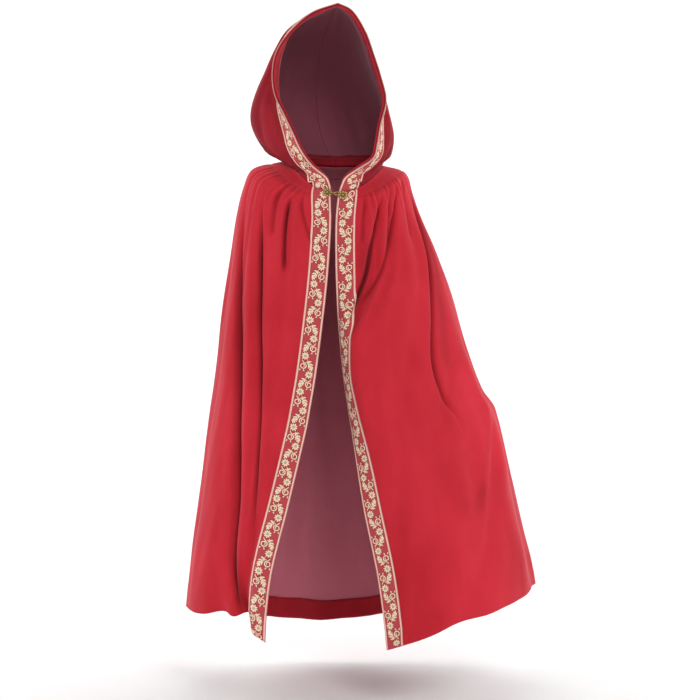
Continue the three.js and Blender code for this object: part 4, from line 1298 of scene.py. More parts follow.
CUTS: dict[str, Cut] = {
    "yoke": Cut(0.47, 0.060, 0.0155, "draped"),
    "front_left": Cut(0.30, 0.70, 0.175),
    "back": Cut(0.70, 0.66, 0.40),
    "front_right": Cut(0.30, 0.70, 0.175),
    "hem_left": Cut(0.24, 0.036, 0.0086, "hung"),
    "hem_back": Cut(0.63, 0.036, 0.0226, "hung"),
    "hem_right": Cut(0.24, 0.036, 0.0086, "hung"),
    "hood_left": Cut(0.24, 0.34, 0.062, "draped"),
    "hood_right": Cut(0.24, 0.34, 0.062, "draped"),
    "hood_facing": Cut(0.0193, 0.70, 0.0135, "draped"),
    "trim_left": Cut(0.029, 0.72, 0.0208, "hung"),
    "trim_right": Cut(0.029, 0.72, 0.0208, "hung"),
    "trim_hood": Cut(0.029, 0.67, 0.0194, "draped"),
}


@dataclass
class Panel(Piece):
    """A gathered panel of the body, or the yoke above it.

    Attributes:
        node: The node of the frame that it stands for.
        form: The body's form.
        gathers: The first and last gather of the panel.
        levels: The levels of its rows.
        columns: How many columns it has.
        cut: Its flat cut; not used.
        rests_on: What it hangs from; not used.
    """

    node: str
    form: ClothForm
    gathers: tuple[int, int]
    levels: np.ndarray
    columns: int
    cut: Cut
    rests_on: tuple[str, ...]

    def split(self, gather: int) -> float:
        """Return the share of the way round at which a gather starts."""
        sums = self.form.sums(np.zeros(1))
        return float(self.form.around_at(sums, np.array([[gather / GATHERS * sums[0, -1]]]))[0, 0])

    def around(self, levels: np.ndarray) -> np.ndarray:
        """Return the columns' places round each ring: by gathers at the top, evenly further down."""
        sums = self.form.sums(levels)
        start, end = (self.split(gather) for gather in self.gathers)
        share = np.linspace(0, 1, self.columns + 1)[None]
        top = self.form.sums(np.zeros(1))
        low, high = (float(np.interp(x, np.linspace(0, 1, LENGTH_STEPS + 1), top[0])) for x in (start, end))
        steady = self.form.around_at(top, low + (high - low) * share)
        gap = SEAM_GAP / 2
        first = self.form.length_to(sums, np.full((len(levels), 1), start))
        first = first + (gap if self.gathers[0] else 0)
        last = self.form.length_to(sums, np.full((len(levels), 1), end))
        last = last - (gap if self.gathers[1] < GATHERS else 0)
        even = self.form.around_at(sums, first + (last - first) * share)
        blend = smooth((levels - EVEN_FROM) / EVEN_OVER)[:, None]
        return steady * (1 - blend) + even * blend

    def dipped(self, around: np.ndarray, levels: np.ndarray) -> tuple[np.ndarray, np.ndarray]:
        """Return the cloth's places, drawn in along its seams, and its normals."""
        places, normals = self.form.surface(around, levels)
        sums = self.form.sums(levels)
        reach = self.form.length_to(sums, around)
        dip = np.zeros_like(reach)
        if self.gathers[0]:
            dip += np.exp(-((reach - reach[:, :1]) / SEAM_SOFTNESS) ** 2)
        if self.gathers[1] < GATHERS:
            dip += np.exp(-((reach - reach[:, -1:]) / SEAM_SOFTNESS) ** 2)
        drop = np.abs(levels)[:, None] * BODY_DROP
        edge = np.minimum(reach, sums[:, -1:] - reach)
        clear = smooth((edge - RIBBON_WIDTH) / SEAM_SOFTNESS)
        dip = np.maximum(dip, np.exp(-((drop / SEAM_SOFTNESS) ** 2)) * clear)
        hem = (levels - HEM_TOP)[:, None] * BODY_DROP / SEAM_SOFTNESS
        dip = dip + HEM_LINE * np.exp(-(hem**2)) * clear
        return places - normals * (SEAM_DIP * dip)[..., None], normals

    def build(self, outside: bpy.types.Material, inside: bpy.types.Material) -> bpy.types.Object:
        """Make the panel.

        Args:
            outside: The right side's finish.
            inside: The wrong side's finish.

        Returns:
            The panel.
        """
        around = self.around(self.levels)
        places, normals = self.dipped(around, self.levels)
        self.places, self.normals = places, normals
        hangs = self.levels[-1] > 0.5
        rims = Rims(
            top=SEAM_FILL,
            bottom=EDGE_ROUND if hangs else SEAM_FILL,
            left=SEAM_FILL if self.gathers[0] else EDGE_ROUND,
            right=SEAM_FILL if self.gathers[1] < GATHERS else EDGE_ROUND,
        )
        parts = MeshParts()
        # Texture coordinates carrying the painted shade of the sharpest creases and strokes, and painted
        # highlights
        nap_and_painted_shade = self.form.nap_and_painted_shade(around, self.levels)
        Wall(places, normals, 0.0, -VELVET_WALL, rims, nap_and_painted_shade).add_to(parts)
        made = self.settle(parts.build("cape_" + self.node, (outside, inside)), "velvet", self.node)
        return made


@dataclass
class HemBand(Piece):
    """The turned-up hem inside a panel, with its row of stitches.

    Attributes:
        node: The node of the frame that it stands for.
        panel: The panel that it is turned up from.
        cut: Its flat cut; not used.
    """

    node: str
    panel: Panel
    cut: Cut

    def build(self, finish: bpy.types.Material, thread: bpy.types.Material) -> bpy.types.Object:
        """Make the band and its stitches.

        Args:
            finish: The band's finish.
            thread: The stitches' finish.

        Returns:
            The band.
        """
        levels = np.linspace(HEM_TOP, 1.0, HEM_ROWS)
        places, normals = self.panel.dipped(self.panel.around(levels), levels)
        top = -VELVET_WALL - LAYER_GAP
        parts = MeshParts()
        rims = Rims(top=EDGE_ROUND * 0.6)
        Wall(places, normals, top, top - FACING_WALL, rims).add_to(parts, (0, 0))
        made = self.settle(parts.build("cape_" + self.node, (finish,)), "hem", self.node)
        line = places[1] * 0.7 + places[2] * 0.3 - normals[1] * (VELVET_WALL + LAYER_GAP + FACING_WALL)
        stitches = Stitches(self.node + "_stitches", line, -normals[1])
        sewn = stitches.build(thread, "hem")
        "cape_" + self.panel.node
        return made


@dataclass
class Stitches(Piece):
    """A row of small stitches along a line on a cloth.

    Attributes:
        name: The row's name.
        line: Places along the line.
        normals: The way out of the cloth there.
        pitch: The length of a stitch with its gap.
    """

    name: str
    line: np.ndarray
    normals: np.ndarray
    pitch: float = 3.4 * MM

    def build(self, thread: bpy.types.Material, slot: str) -> bpy.types.Object:
        """Make the stitches.

        Args:
            thread: The thread's finish.
            slot: The record's material slot; not used.

        Returns:
            The row of stitches.
        """
        run = along_path(self.line)
        count = max(2, int(run[-1] / self.pitch))
        starts = (np.arange(count) + STITCH_START) * run[-1] / count
        length = STITCH_SHARE * run[-1] / count
        shares = np.array([0.0, 0.5, 1.0])
        at = starts[:, None] + shares * length
        places = np.stack([np.interp(at, run, self.line[:, k]) for k in range(3)], -1)
        normals = unit(np.stack([np.interp(at, run, self.normals[:, k]) for k in range(3)], -1))
        along = unit(places[:, 2:] - places[:, :1])
        across = np.cross(normals, along)
        half, high = STITCH_HALF, STITCH_HIGH
        parts = MeshParts()
        ends = places[:, [0, 2]] - normals[:, [0, 2]] * high * STITCH_END
        middle = places[:, 1:2]
        ring = np.concatenate([
            middle + across[:, 1:2] * half,
            middle + normals[:, 1:2] * high,
            middle - across[:, 1:2] * half,
            middle - normals[:, 1:2] * high * STITCH_FOOT,
        ], axis=1)
        first = parts.add_vertices(np.concatenate([ends, ring], axis=1))
        base = first + np.arange(count)[:, None] * 6
        for k in range(4):
            near, far = 2 + k, 2 + (k + 1) % 4
            parts.add_faces(base + np.array([[0, far, near]]))
            parts.add_faces(base + np.array([[1, near, far]]))
        return self.settle(parts.build("cape_" + self.name, (thread,)), slot)


@dataclass
class HoodHalf(Piece):
    """One half of the hood, from its face edge to the centre seam.

    Attributes:
        node: The node of the frame that it stands for.
        form: The hood's form.
        side: The half's side.
        cut: Its flat cut; not used.
    """

    node: str
    form: ClothForm
    side: Side
    cut: Cut

    def build(self, outside: bpy.types.Material, inside: bpy.types.Material) -> bpy.types.Object:
        """Make the half.

        Args:
            outside: The right side's finish.
            inside: The wrong side's finish.

        Returns:
            The half of the hood.
        """
        levels = np.linspace(0.0, 1.0, HOOD_ROWS)
        sums = self.form.sums(levels)
        middle = self.form.length_to(sums, np.full((len(levels), 1), 0.5))
        gap = np.where(levels >= 1.0, 0.0, SEAM_GAP / 2)[:, None]
        share = np.linspace(0, 1, HOOD_COLUMNS + 1)[None]
        if self.side is Side.LEFT:
            reach = (middle - gap) * share
        else:
            reach = middle + gap + (sums[:, -1:] - middle - gap) * share
        around = self.form.around_at(sums, reach)
        places, normals = self.form.surface(around, levels)
        edge = np.minimum(reach, sums[:, -1:] - reach)
        clear = smooth((edge - RIBBON_WIDTH) / SEAM_SOFTNESS)
        from_seam = np.minimum(np.abs(reach - middle), (1.0 - levels)[:, None] * HOOD_RISE)
        dip = np.exp(-((from_seam / SEAM_SOFTNESS) ** 2)) * clear
        neck = np.exp(-((levels[:, None] * HOOD_RISE / SEAM_SOFTNESS) ** 2)) * clear
        places = places - normals * (SEAM_DIP * np.maximum(dip, neck))[..., None]
        nudge = SEAM_GAP / 2 * (-1 if self.side is Side.LEFT else 1)
        places[-1, :, 0] += nudge
        left = self.side is Side.LEFT
        rims = Rims(
            SEAM_FILL, SEAM_FILL, EDGE_ROUND if left else SEAM_FILL, SEAM_FILL if left else EDGE_ROUND
        )
        parts = MeshParts()
        # Texture coordinates carrying the painted shade of the sharpest creases and strokes, and painted
        # highlights
        nap_and_painted_shade = self.form.nap_and_painted_shade(around, levels)
        Wall(places, normals, 0.0, -VELVET_WALL, rims, nap_and_painted_shade, NECK_TUCK, NECK_ALLOWANCE_ROWS).add_to(parts)
        made = self.settle(parts.build("cape_" + self.node, (outside, inside)), "velvet", self.node)
        return made


@dataclass
class HoodFacing(Piece):
    """The strip of velvet turned in behind the hood's face edge.

    Attributes:
        edging: The face edge's strip of cloth.
        cut: Its flat cut; not used.
    """

    edging: Edging
    cut: Cut

    def build(self, finish: bpy.types.Material) -> bpy.types.Object:
        """Make the facing.

        Args:
            finish: The facing's finish.

        Returns:
            The facing.
        """
        along = np.linspace(0, self.edging.length, FACING_ROWS)
        across = np.linspace(0, RIBBON_WIDTH * 2 / 3, FACING_COLUMNS + 1)
        u, v = np.meshgrid(across, along)
        places, normals = self.edging.at(u, v)
        top = -VELVET_WALL - LAYER_GAP
        parts = MeshParts()
        Wall(places, normals, top, top - FACING_WALL, Rims(right=EDGE_ROUND * 0.6)).add_to(parts, (0, 0))
        made = self.settle(parts.build("cape_hood_facing", (finish,)), "velvet", "hood_facing")
        return made


@dataclass
class Figures:
    """The ribbon's woven figures, raised over its ground.

    Attributes:
        edging: The strip of cloth that the ribbon lies on.
        turned: Whether the ribbon runs the other way up.
        parts: The mesh that the figures are gathered in.
    """

    edging: Edging
    turned: bool
    parts: MeshParts = field(default_factory=MeshParts)

    def lifted(self, flat: np.ndarray, height: np.ndarray | float) -> np.ndarray:
        """Return places over the ribbon for flat points and heights over its face."""
        across, along = flat[..., 0] * MM, flat[..., 1] * MM
        if self.turned:
            across, along = RIBBON_WIDTH - across, self.edging.length - along
        places, normals = self.edging.at(across, np.clip(along, 0.0, self.edging.length))
        return places + normals * (LAYER_GAP + RIBBON_WALL + np.asarray(height) * MM)[..., None]

    def fan(self, outline: np.ndarray, height: float, dome: float, kind: int) -> None:
        """Add a raised shape.

        Args:
            outline: Its outline's points, in millimetres.
            height: Its rim's height over the ribbon.
            dome: How much higher its middle is.
            kind: Its material.
        """
        count = len(outline)
        centre = outline.mean(axis=0, keepdims=True)
        inset = centre + (outline - centre) * FIGURE_INSET
        flat = np.concatenate([outline, inset, centre, centre])
        low = np.full(count, FIGURE_ROOT)
        tall = np.concatenate([low, np.full(count, height), [height + dome], [FIGURE_ROOT]])
        first = self.parts.add_vertices(self.lifted(flat, tall))
        i = np.arange(count)
        j = (i + 1) % count
        top, bottom = 2 * count, 2 * count + 1
        sides = np.stack([i, j, j + count, i + count], 1)
        caps = np.stack([i + count, j + count, np.full(count, top)], 1)
        under = np.stack([j, i, np.full(count, bottom)], 1)
        turn = self.winding(outline)
        for faces in (sides, caps, under):
            self.parts.add_faces(first + (faces if turn else faces[:, ::-1]), kind)

    def strip(self, path: np.ndarray, widths: np.ndarray, height: float, kind: int) -> None:
        """Add a raised stem.

        Args:
            path: Its middle line's points, in millimetres.
            widths: Its width at each.
            height: Its height over the ribbon.
            kind: Its material.
        """
        along = np.gradient(path, axis=0)
        across = unit(np.stack([-along[:, 1], along[:, 0]], 1)) * widths[:, None] / 2
        flat = np.stack([path - across, path - across * 0.8, path, path + across * 0.8, path + across], 1)
        low = np.full(len(path), FIGURE_ROOT)
        side = np.full(len(path), height)
        tall = np.stack([low, side, side + STEM_DOME, side, low], 1)
        first = self.parts.add_vertices(self.lifted(flat, tall))
        row = np.arange(len(path) - 1)[:, None] * 5
        turn = not self.turned
        for k in range(5):
            near, far = k, (k + 1) % 5
            quads = row + np.array([[near, near + 5, far + 5, far]])
            self.parts.add_faces(first + (quads[:, ::-1] if turn else quads), kind)
        last = (len(path) - 1) * 5
        start = np.array([[0, 2, 1], [0, 3, 2], [0, 4, 3]])
        self.parts.add_faces(first + (start[:, ::-1] if turn else start), kind)
        self.parts.add_faces(first + last + (start if turn else start[:, ::-1]), kind)

    def winding(self, outline: np.ndarray) -> bool:
        """Return whether an outline's faces turn outwards as they are listed."""
        x, y = outline[:, 0], outline[:, 1]
        area = np.sum(x * np.roll(y, -1) - np.roll(x, -1) * y)
        return bool((area > 0) != self.turned)


@dataclass(frozen=True)
class RibbonUnit:
    """One repeat of the ribbon's pattern: a flower, a spray of leaves and a scroll.

    Attributes:
        start: Where the repeat starts along the ribbon, in millimetres.
        mirrored: Whether it is mirrored across the ribbon.
    """

    start: float
    mirrored: bool

    def placed(self, flat: np.ndarray) -> np.ndarray:
        """Return points of the repeat on the ribbon."""
        x = -flat[..., 0] if self.mirrored else flat[..., 0]
        return np.stack([x + RIBBON_WIDTH / MM / 2, flat[..., 1] + self.start], -1)

    @staticmethod
    def leaf(root: Sequence[float], angle: float, long: float, half: float) -> np.ndarray:
        """Return the outline of a pointed oval.

        Args:
            root: The end that it grows from.
            angle: The way that it points.
            long: Its length.
            half: Its half width.

        Returns:
            The outline's points.
        """
        t = np.concatenate([np.linspace(0, 1, 7), np.linspace(1, 0, 7)[1:-1]])
        side = np.concatenate([np.ones(7), -np.ones(5)])
        across = side * half * np.sin(math.pi * t**0.85) ** 0.8
        x, y = t * long, across
        c, s = math.cos(angle), math.sin(angle)
        return np.stack([root[0] + x * c - y * s, root[1] + x * s + y * c], -1)

    def shape(self, figures: Figures, outline: np.ndarray, kind: int = 1) -> None:
        """Add a shape and the darker outline under it."""
        centre = outline.mean(axis=0)
        away = outline - centre
        wider = outline + away / np.linalg.norm(away, axis=1, keepdims=True) * OUTLINE_WIDTH
        figures.fan(self.placed(wider), OUTLINE_HIGH, 0.02, 0)
        figures.fan(self.placed(outline), FIGURE_HIGH, FIGURE_DOME, kind)

    def stem(self, figures: Figures, path: np.ndarray, widths: np.ndarray) -> None:
        """Add a stem and the darker outline under it."""
        figures.strip(self.placed(path), widths + 2 * OUTLINE_WIDTH * 0.8, 0.1, 0)
        figures.strip(self.placed(path), widths, FIGURE_HIGH, 1)

    def flower(self, figures: Figures, centre: Sequence[float]) -> None:
        """Add a flower of nine narrow petals round a small eye."""
        for k in range(PETALS):
            angle = 2 * math.pi * (k + 0.3) / PETALS
            long = PETAL_LONG + 0.3 * math.sin(3.1 * k + self.start)
            root = (centre[0] + PETAL_ROOT * math.cos(angle), centre[1] + PETAL_ROOT * math.sin(angle))
            self.shape(figures, self.leaf(root, angle, long, 1.3))
        turn = np.linspace(0, 2 * math.pi, 13)[:-1]
        eye = np.stack([centre[0] + EYE_RADIUS * np.cos(turn), centre[1] + EYE_RADIUS * np.sin(turn)], -1)
        self.shape(figures, eye, 2)

    def spray(self, figures: Figures) -> None:
        """Add a curved stem with paired leaves."""
        t = np.linspace(0, 1, 9)
        x = -0.6 + 6.6 * t + 2.6 * np.sin(math.pi * t) * (1 - t)
        y = 6.2 + 11.4 * t
        path = np.stack([x, y], -1)
        self.stem(figures, path, np.linspace(1.3, 0.9, 9))
        for at, spread, long in ((1, 0.95, 5.0), (3, 0.85, 5.8), (5, 0.8, 5.6), (7, 0.7, 4.8)):
            way = math.atan2(path[at + 1, 1] - path[at, 1], path[at + 1, 0] - path[at, 0])
            for sign in (-1, 1):
                self.shape(figures, self.leaf(path[at], way + sign * spread, long, 1.25))
        way = math.atan2(path[-1, 1] - path[-2, 1], path[-1, 0] - path[-2, 0])
        self.shape(figures, self.leaf(path[-1], way, 4.6, 1.15))

    def scroll(self, figures: Figures) -> None:
        """Add a scroll that curls round itself and ends in a forked tail."""
        t = np.linspace(0, 1, 22)
        angle = math.pi * (-0.15 + SCROLL_TURNS * t)
        radius = 4.9 - 3.3 * t
        path = np.stack([-6.1 + radius * np.cos(angle), 14.6 + radius * np.sin(angle)], -1)
        self.stem(figures, path, np.linspace(1.9, 1.4, 22))
        s = np.linspace(0, 1, 9)
        tail = np.stack([path[0, 0] - 6.4 * s - 1.2 * np.sin(math.pi * s), path[0, 1] - 6.0 * s], -1)
        self.stem(figures, tail, np.linspace(1.9, 1.3, 9))
        fork = np.stack([path[0, 0] - 1.2 + 3.2 * s, path[0, 1] - 2.6 - 1.8 * s], -1)
        self.stem(figures, fork, np.linspace(1.6, 1.1, 9))
        self.shape(figures, self.leaf((-9.3, 19.6), 2.0, 3.8, 1.0))
        self.shape(figures, self.leaf((-5.0, 19.8), 1.1, 3.8, 1.0))

    def draw(self, figures: Figures) -> None:
        """Add the whole repeat."""
        self.flower(figures, (-4.4, 0.0))
        self.spray(figures)
        self.scroll(figures)


@dataclass
class Ribbon(Piece):
    """A flowered ribbon sewn along an edge, with its woven figures and its stitches.

    Attributes:
        node: The node of the frame that it stands for.
        edging: The strip of cloth that it lies on.
        start: How far along the edge it starts.
        turned: Whether its pattern runs the other way up.
        cut: Its flat cut; not used.
        rests_on: The pieces that it is sewn to; not used.
    """

    node: str
    edging: Edging
    start: float
    turned: bool
    cut: Cut
    rests_on: tuple[str, ...]

    def ground(self, finish: bpy.types.Material) -> bpy.types.Object:
        """Make the ribbon's ground and its raised borders."""
        along = np.linspace(self.start, self.edging.length, int(self.edging.length / RIBBON_STEP))
        border = np.linspace(0, BORDER_WIDTH, 4)
        middle = np.linspace(BORDER_WIDTH + 0.3 * MM, RIBBON_WIDTH - BORDER_WIDTH - 0.3 * MM, 14)
        across = np.concatenate([border, middle, RIBBON_WIDTH - border[::-1]])
        u, v = np.meshgrid(across, along)
        places, normals = self.edging.at(u, v)
        raised = (np.minimum(u, RIBBON_WIDTH - u) < BORDER_WIDTH + 0.01 * MM) * BORDER_RISE
        pucker = BORDER_PUCKER * np.sin(v / (2.1 * MM)) * np.sin(v / (7.3 * MM) + u / (9 * MM))
        outer = LAYER_GAP + RIBBON_WALL - BORDER_PUCKER + raised + pucker
        parts = MeshParts()
        rims = Rims(0.2 * MM, 0.2 * MM, 0.25 * MM, 0.25 * MM)
        Wall(places, normals, outer, LAYER_GAP, rims, np.stack([u, v], -1)).add_to(parts, (0, 0))
        return self.settle(parts.build("cape_" + self.node, (finish,)), "ribbon", self.node)

    def build(self, finishes: Mapping[str, bpy.types.Material]) -> bpy.types.Object:
        """Make the ribbon, its figures and its two rows of stitches.

        Args:
            finishes: The ribbon's finishes: ground, outline, figure, eye and stitch.

        Returns:
            The ribbon's ground.
        """
        made = self.ground(finishes["ground"])
        figures = Figures(self.edging, self.turned)
        length = (self.edging.length - self.start) / MM
        count = round(length / REPEAT)
        pitch = length / count
        offset = 0.0 if self.turned else self.start / MM
        for k in range(count):
            first = offset + (k + 0.28) * pitch
            RibbonUnit(first, k % 2 == 1).draw(figures)
        kinds = (finishes["outline"], finishes["figure"], finishes["eye"])
        drawn = self.settle(figures.parts.build("cape_" + self.node + "_figures", kinds), "ribbon")
        for name, across in (("outer", STITCH_INSET), ("inner", RIBBON_WIDTH - STITCH_INSET)):
            along = np.arange(self.start, self.edging.length, 2 * MM)
            places, normals = self.edging.at(np.full_like(along, across), along)
            line = places + normals * (LAYER_GAP + RIBBON_WALL + BORDER_RISE)
            row = Stitches(f"{self.node}_{name}_stitches", line, normals, 2.6 * MM)
            row.build(finishes["stitch"], "ribbon")
        return made


@dataclass
class ClaspHalf(Piece):
    """A rosette and its wire, cast in one piece.

    Attributes:
        node: The node of the frame that it stands for.
        at: The rosette's place from the front: to the right and up, in metres.
        reach: How far in front the rosette's back lies, square to it.
        wire: The wire's points in the rosette's own frame, in millimetres.
    """

    node: str
    at: tuple[float, float]
    reach: float
    wire: tuple[Point, ...]

    def placed(self, flat: np.ndarray) -> np.ndarray:
        """Return places on the part of points in the rosette's own frame, in millimetres."""
        x, y, z = (flat[..., k] * MM for k in range(3))
        turn = math.pi / 2 - PLATE_TILT
        forward = (self.at[1] * math.sin(PLATE_TILT) - self.reach) / math.cos(PLATE_TILT)
        return np.stack([
            x + self.at[0],
            y * math.cos(turn) - z * math.sin(turn) + forward,
            y * math.sin(turn) + z * math.cos(turn) + self.at[1],
        ], -1)

    def rosette(self, parts: MeshParts) -> None:
        """Add the rosette: a scalloped rim, eight domed petals, a ring of beads and a boss."""
        rings, columns = PLATE_RINGS, PLATE_COLUMNS
        share = np.linspace(0, 1, rings)
        angle = np.linspace(0, 2 * math.pi, columns, endpoint=False)
        r, a = np.meshgrid(share, angle, indexing="ij")
        petal = np.abs(np.cos(PLATE_PETALS / 2 * a)) ** 0.6
        wide = PLATE_RADIUS + PLATE_SCALLOP * (2.2 * petal - 1.0)
        crown = np.sin(math.pi * np.clip((r - PETAL_FROM) / PETAL_OVER, 0, 1)) ** 0.7
        body = PLATE_THICK + PETAL_HIGH * petal * crown
        beads = np.abs(np.sin(BEAD_PAIRS * a)) * np.exp(-(((r - BEAD_AT) / BEAD_HALF) ** 2))
        boss = BOSS_HIGH * np.sqrt(np.clip(1 - (r / BOSS_SHARE) ** 2, 0, 1)) * (r < BOSS_SHARE)
        collar = COLLAR_HIGH * np.exp(-(((r - COLLAR_AT) / COLLAR_HALF) ** 2))
        height = body + BEAD_HIGH * beads + boss + collar
        to_rim = np.maximum(0.0, r - RIM_FROM) / (1 - RIM_FROM)
        height = height * (1 - RIM_FALL * to_rim**2)
        flat = np.stack([wide * r * np.cos(a), wide * r * np.sin(a), height], -1)
        back = np.stack([wide[-1] * np.cos(angle), wide[-1] * np.sin(angle), np.zeros(columns)], -1)
        first = parts.add_vertices(self.placed(flat[1:]))
        centre = parts.add_vertices(self.placed(np.array([[0.0, 0.0, height[0, 0]], [0.0, 0.0, 0.0]])))
        last = parts.add_vertices(self.placed(back))
        number = first + np.arange((rings - 1) * columns).reshape(rings - 1, columns)
        following = np.roll(number, -1, axis=1)
        quads = np.stack([number[:-1], number[1:], following[1:], following[:-1]], -1).reshape(-1, 4)
        parts.add_faces(quads)
        parts.add_faces(np.stack([np.full(columns, centre), number[0], following[0]], 1))
        rim = last + np.arange(columns)
        next_rim = np.roll(rim, -1)
        parts.add_faces(np.stack([number[-1], rim, next_rim, following[-1]], 1))
        parts.add_faces(np.stack([np.full(columns, centre + 1), next_rim, rim], 1))

    def loop(self, parts: MeshParts) -> None:
        """Add the wire as a round tube along its points."""
        steps, sides = WIRE_STEPS, WIRE_SIDES
        points = np.array(self.wire)
        knots = np.concatenate([[0.0], np.cumsum(np.linalg.norm(np.diff(points, axis=0), axis=1) ** 0.5)])
        slopes = np.gradient(points, knots, axis=0)
        at = np.linspace(0, knots[-1], steps)
        i = np.clip(np.searchsorted(knots, at, side="right") - 1, 0, len(knots) - 2)
        span = (knots[i + 1] - knots[i])[:, None]
        t = ((at - knots[i])[:, None]) / span
        path = (
            points[i] * (2 * t**3 - 3 * t**2 + 1) + slopes[i] * span * (t**3 - 2 * t**2 + t)
            + points[i + 1] * (3 * t**2 - 2 * t**3) + slopes[i + 1] * span * (t**3 - t**2)
        )
        along = unit(np.gradient(path, axis=0))
        aside = unit(np.cross(along, np.array([0.31, 0.17, 0.93])))
        up = np.cross(aside, along)
        angle = np.linspace(0, 2 * math.pi, sides, endpoint=False)
        from_end = np.minimum(at, at[-1] - at) / (0.5 * WIRE_RADIUS)
        round_ends = np.sqrt(np.clip(1 - (1 - from_end) ** 2, 0.02, 1))
        thick = WIRE_RADIUS * np.where(from_end < 1.0, round_ends, 1.0)
        tube = path[:, None] + thick[:, None, None] * (
            aside[:, None] * np.cos(angle)[:, None] + up[:, None] * np.sin(angle)[:, None]
        )
        first = parts.add_vertices(self.placed(tube))
        ends = parts.add_vertices(self.placed(path[[0, -1]]))
        number = first + np.arange(steps * sides).reshape(steps, sides)
        following = np.roll(number, -1, axis=1)
        quads = np.stack([number[:-1], following[:-1], following[1:], number[1:]], -1).reshape(-1, 4)
        parts.add_faces(quads)
        parts.add_faces(np.stack([np.full(sides, ends), following[0], number[0]], 1))
        parts.add_faces(np.stack([np.full(sides, ends + 1), number[-1], following[-1]], 1))

    def build(self, brass: bpy.types.Material) -> bpy.types.Object:
        """Make the half.

        Args:
            brass: Its finish.

        Returns:
            The half of the clasp.
        """
        parts = MeshParts()
        self.rosette(parts)
        self.loop(parts)
        return self.settle(parts.build("cape_" + self.node, (brass,)), "clasp", self.node)


def clasp_reach() -> float:
    """Return how far in front the clasp's backs lie, from the right half's solid in the frame."""
    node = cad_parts["clasp_right"]
    count = len(node.data.vertices)
    places = np.empty(count * 3)
    node.data.vertices.foreach_get("co", places)
    matrix = np.array(node.matrix_world)
    world = places.reshape(-1, 3) @ matrix[:3, :3].T + matrix[:3, 3]
    forward = np.array([0.0, -math.cos(PLATE_TILT), math.sin(PLATE_TILT)])
    return float((world @ forward).min())


@dataclass(frozen=True)
class SoftLight:
    """A large rectangular lamp that faces a point."""

    name: str
    at: Point
    towards: Point
    width: float
    height: float
    power: float
    colour: tuple[float, float, float] = (1.0, 1.0, 1.0)

    def build(self) -> None:
        """Make the lamp."""
        lamp = bpy.data.lights.new(self.name, "AREA")
        lamp.shape = "RECTANGLE"
        lamp.size, lamp.size_y = self.width, self.height
        lamp.energy = self.power
        lamp.color = self.colour
        made = bpy.data.objects.new(self.name, lamp)
        made.visible_camera = False
        made.location = self.at
        way = Vector(self.towards) - Vector(self.at)
        made.rotation_euler = way.to_track_quat("-Z", "Y").to_euler()
        bpy.context.scene.collection.objects.link(made)


@dataclass(frozen=True)
class Studio:
    """The pale floor with its curved backdrop, the lamps, the world and the camera."""

    floor: float = -0.786
    front: float = -4.2
    back: float = 1.9
    height: float = 3.4
    curve: float = 0.9
    half: float = 3.6

    def backdrop(self) -> None:
        """Make the floor and the backdrop that curves up behind it."""
        turn = np.linspace(0, math.pi / 2, 24)
        y = np.concatenate([[self.front], self.back - self.curve + self.curve * np.sin(turn), [self.back]])
        z = np.concatenate([[0.0], self.curve - self.curve * np.cos(turn), [self.height]]) + self.floor
        x = np.array([-self.half, self.half])
        places = np.stack(np.broadcast_arrays(x[None], y[:, None], z[:, None]), -1)
        parts = MeshParts()
        first = parts.add_vertices(places)
        row = first + np.arange(len(y) - 1)[:, None] * 2
        parts.add_faces(row + np.array([[0, 1, 3, 2]]))
        made = parts.build("studio_floor", (PlainFinish("studio pale", (0.9, 0.9, 0.9, 1.0)).material(),))

    def lamps(self) -> None:
        """Make the lamps."""
        for lamp in (
            SoftLight("key", (1.0, -3.4, 1.7), (0.0, 0.0, -0.25), 1.3, 1.3, 58.0, (1.0, 0.99, 0.975)),
            SoftLight("fill", (-1.9, -2.9, 0.5), (0.0, 0.0, -0.35), 1.6, 2.2, 16.0, (0.98, 0.99, 1.0)),
            SoftLight("top", (0.1, 0.5, 2.2), (0.0, 0.0, -0.2), 1.6, 1.2, 10.0),
            SoftLight("left wall", (-2.3, 0.5, 0.9), (-0.4, 1.9, -0.1), 1.4, 2.0, 36.0),
            SoftLight("right wall", (2.3, 0.5, 0.9), (0.4, 1.9, -0.1), 1.4, 2.0, 36.0),
        ):
            lamp.build()

    def world(self) -> None:
        """Make the even white world."""
        world = bpy.data.worlds.new("studio")
        world.use_nodes = True
        shade = world.node_tree.nodes["Background"]
        shade.inputs["Color"].default_value = (1.0, 1.0, 1.0, 1.0)
        shade.inputs["Strength"].default_value = 0.42
        bpy.context.scene.world = world
        bpy.context.scene.view_settings.view_transform = "Standard"

    def camera(self) -> None:
        """Make the camera, level with the waist and a little above it."""
        lens = bpy.data.cameras.new("view")
        lens.sensor_width = 36.0
        lens.lens = 111.7
        made = bpy.data.objects.new("view", lens)
        made.location = (0.0198, -3.3, -0.060)
        made.rotation_euler = (math.radians(90.0 - 3.57), 0.0, 0.0)
        bpy.context.scene.collection.objects.link(made)
        bpy.context.scene.camera = made

    def build(self) -> None:
        """Make the whole studio."""
        self.backdrop()
        self.lamps()
        self.world()
        self.camera()


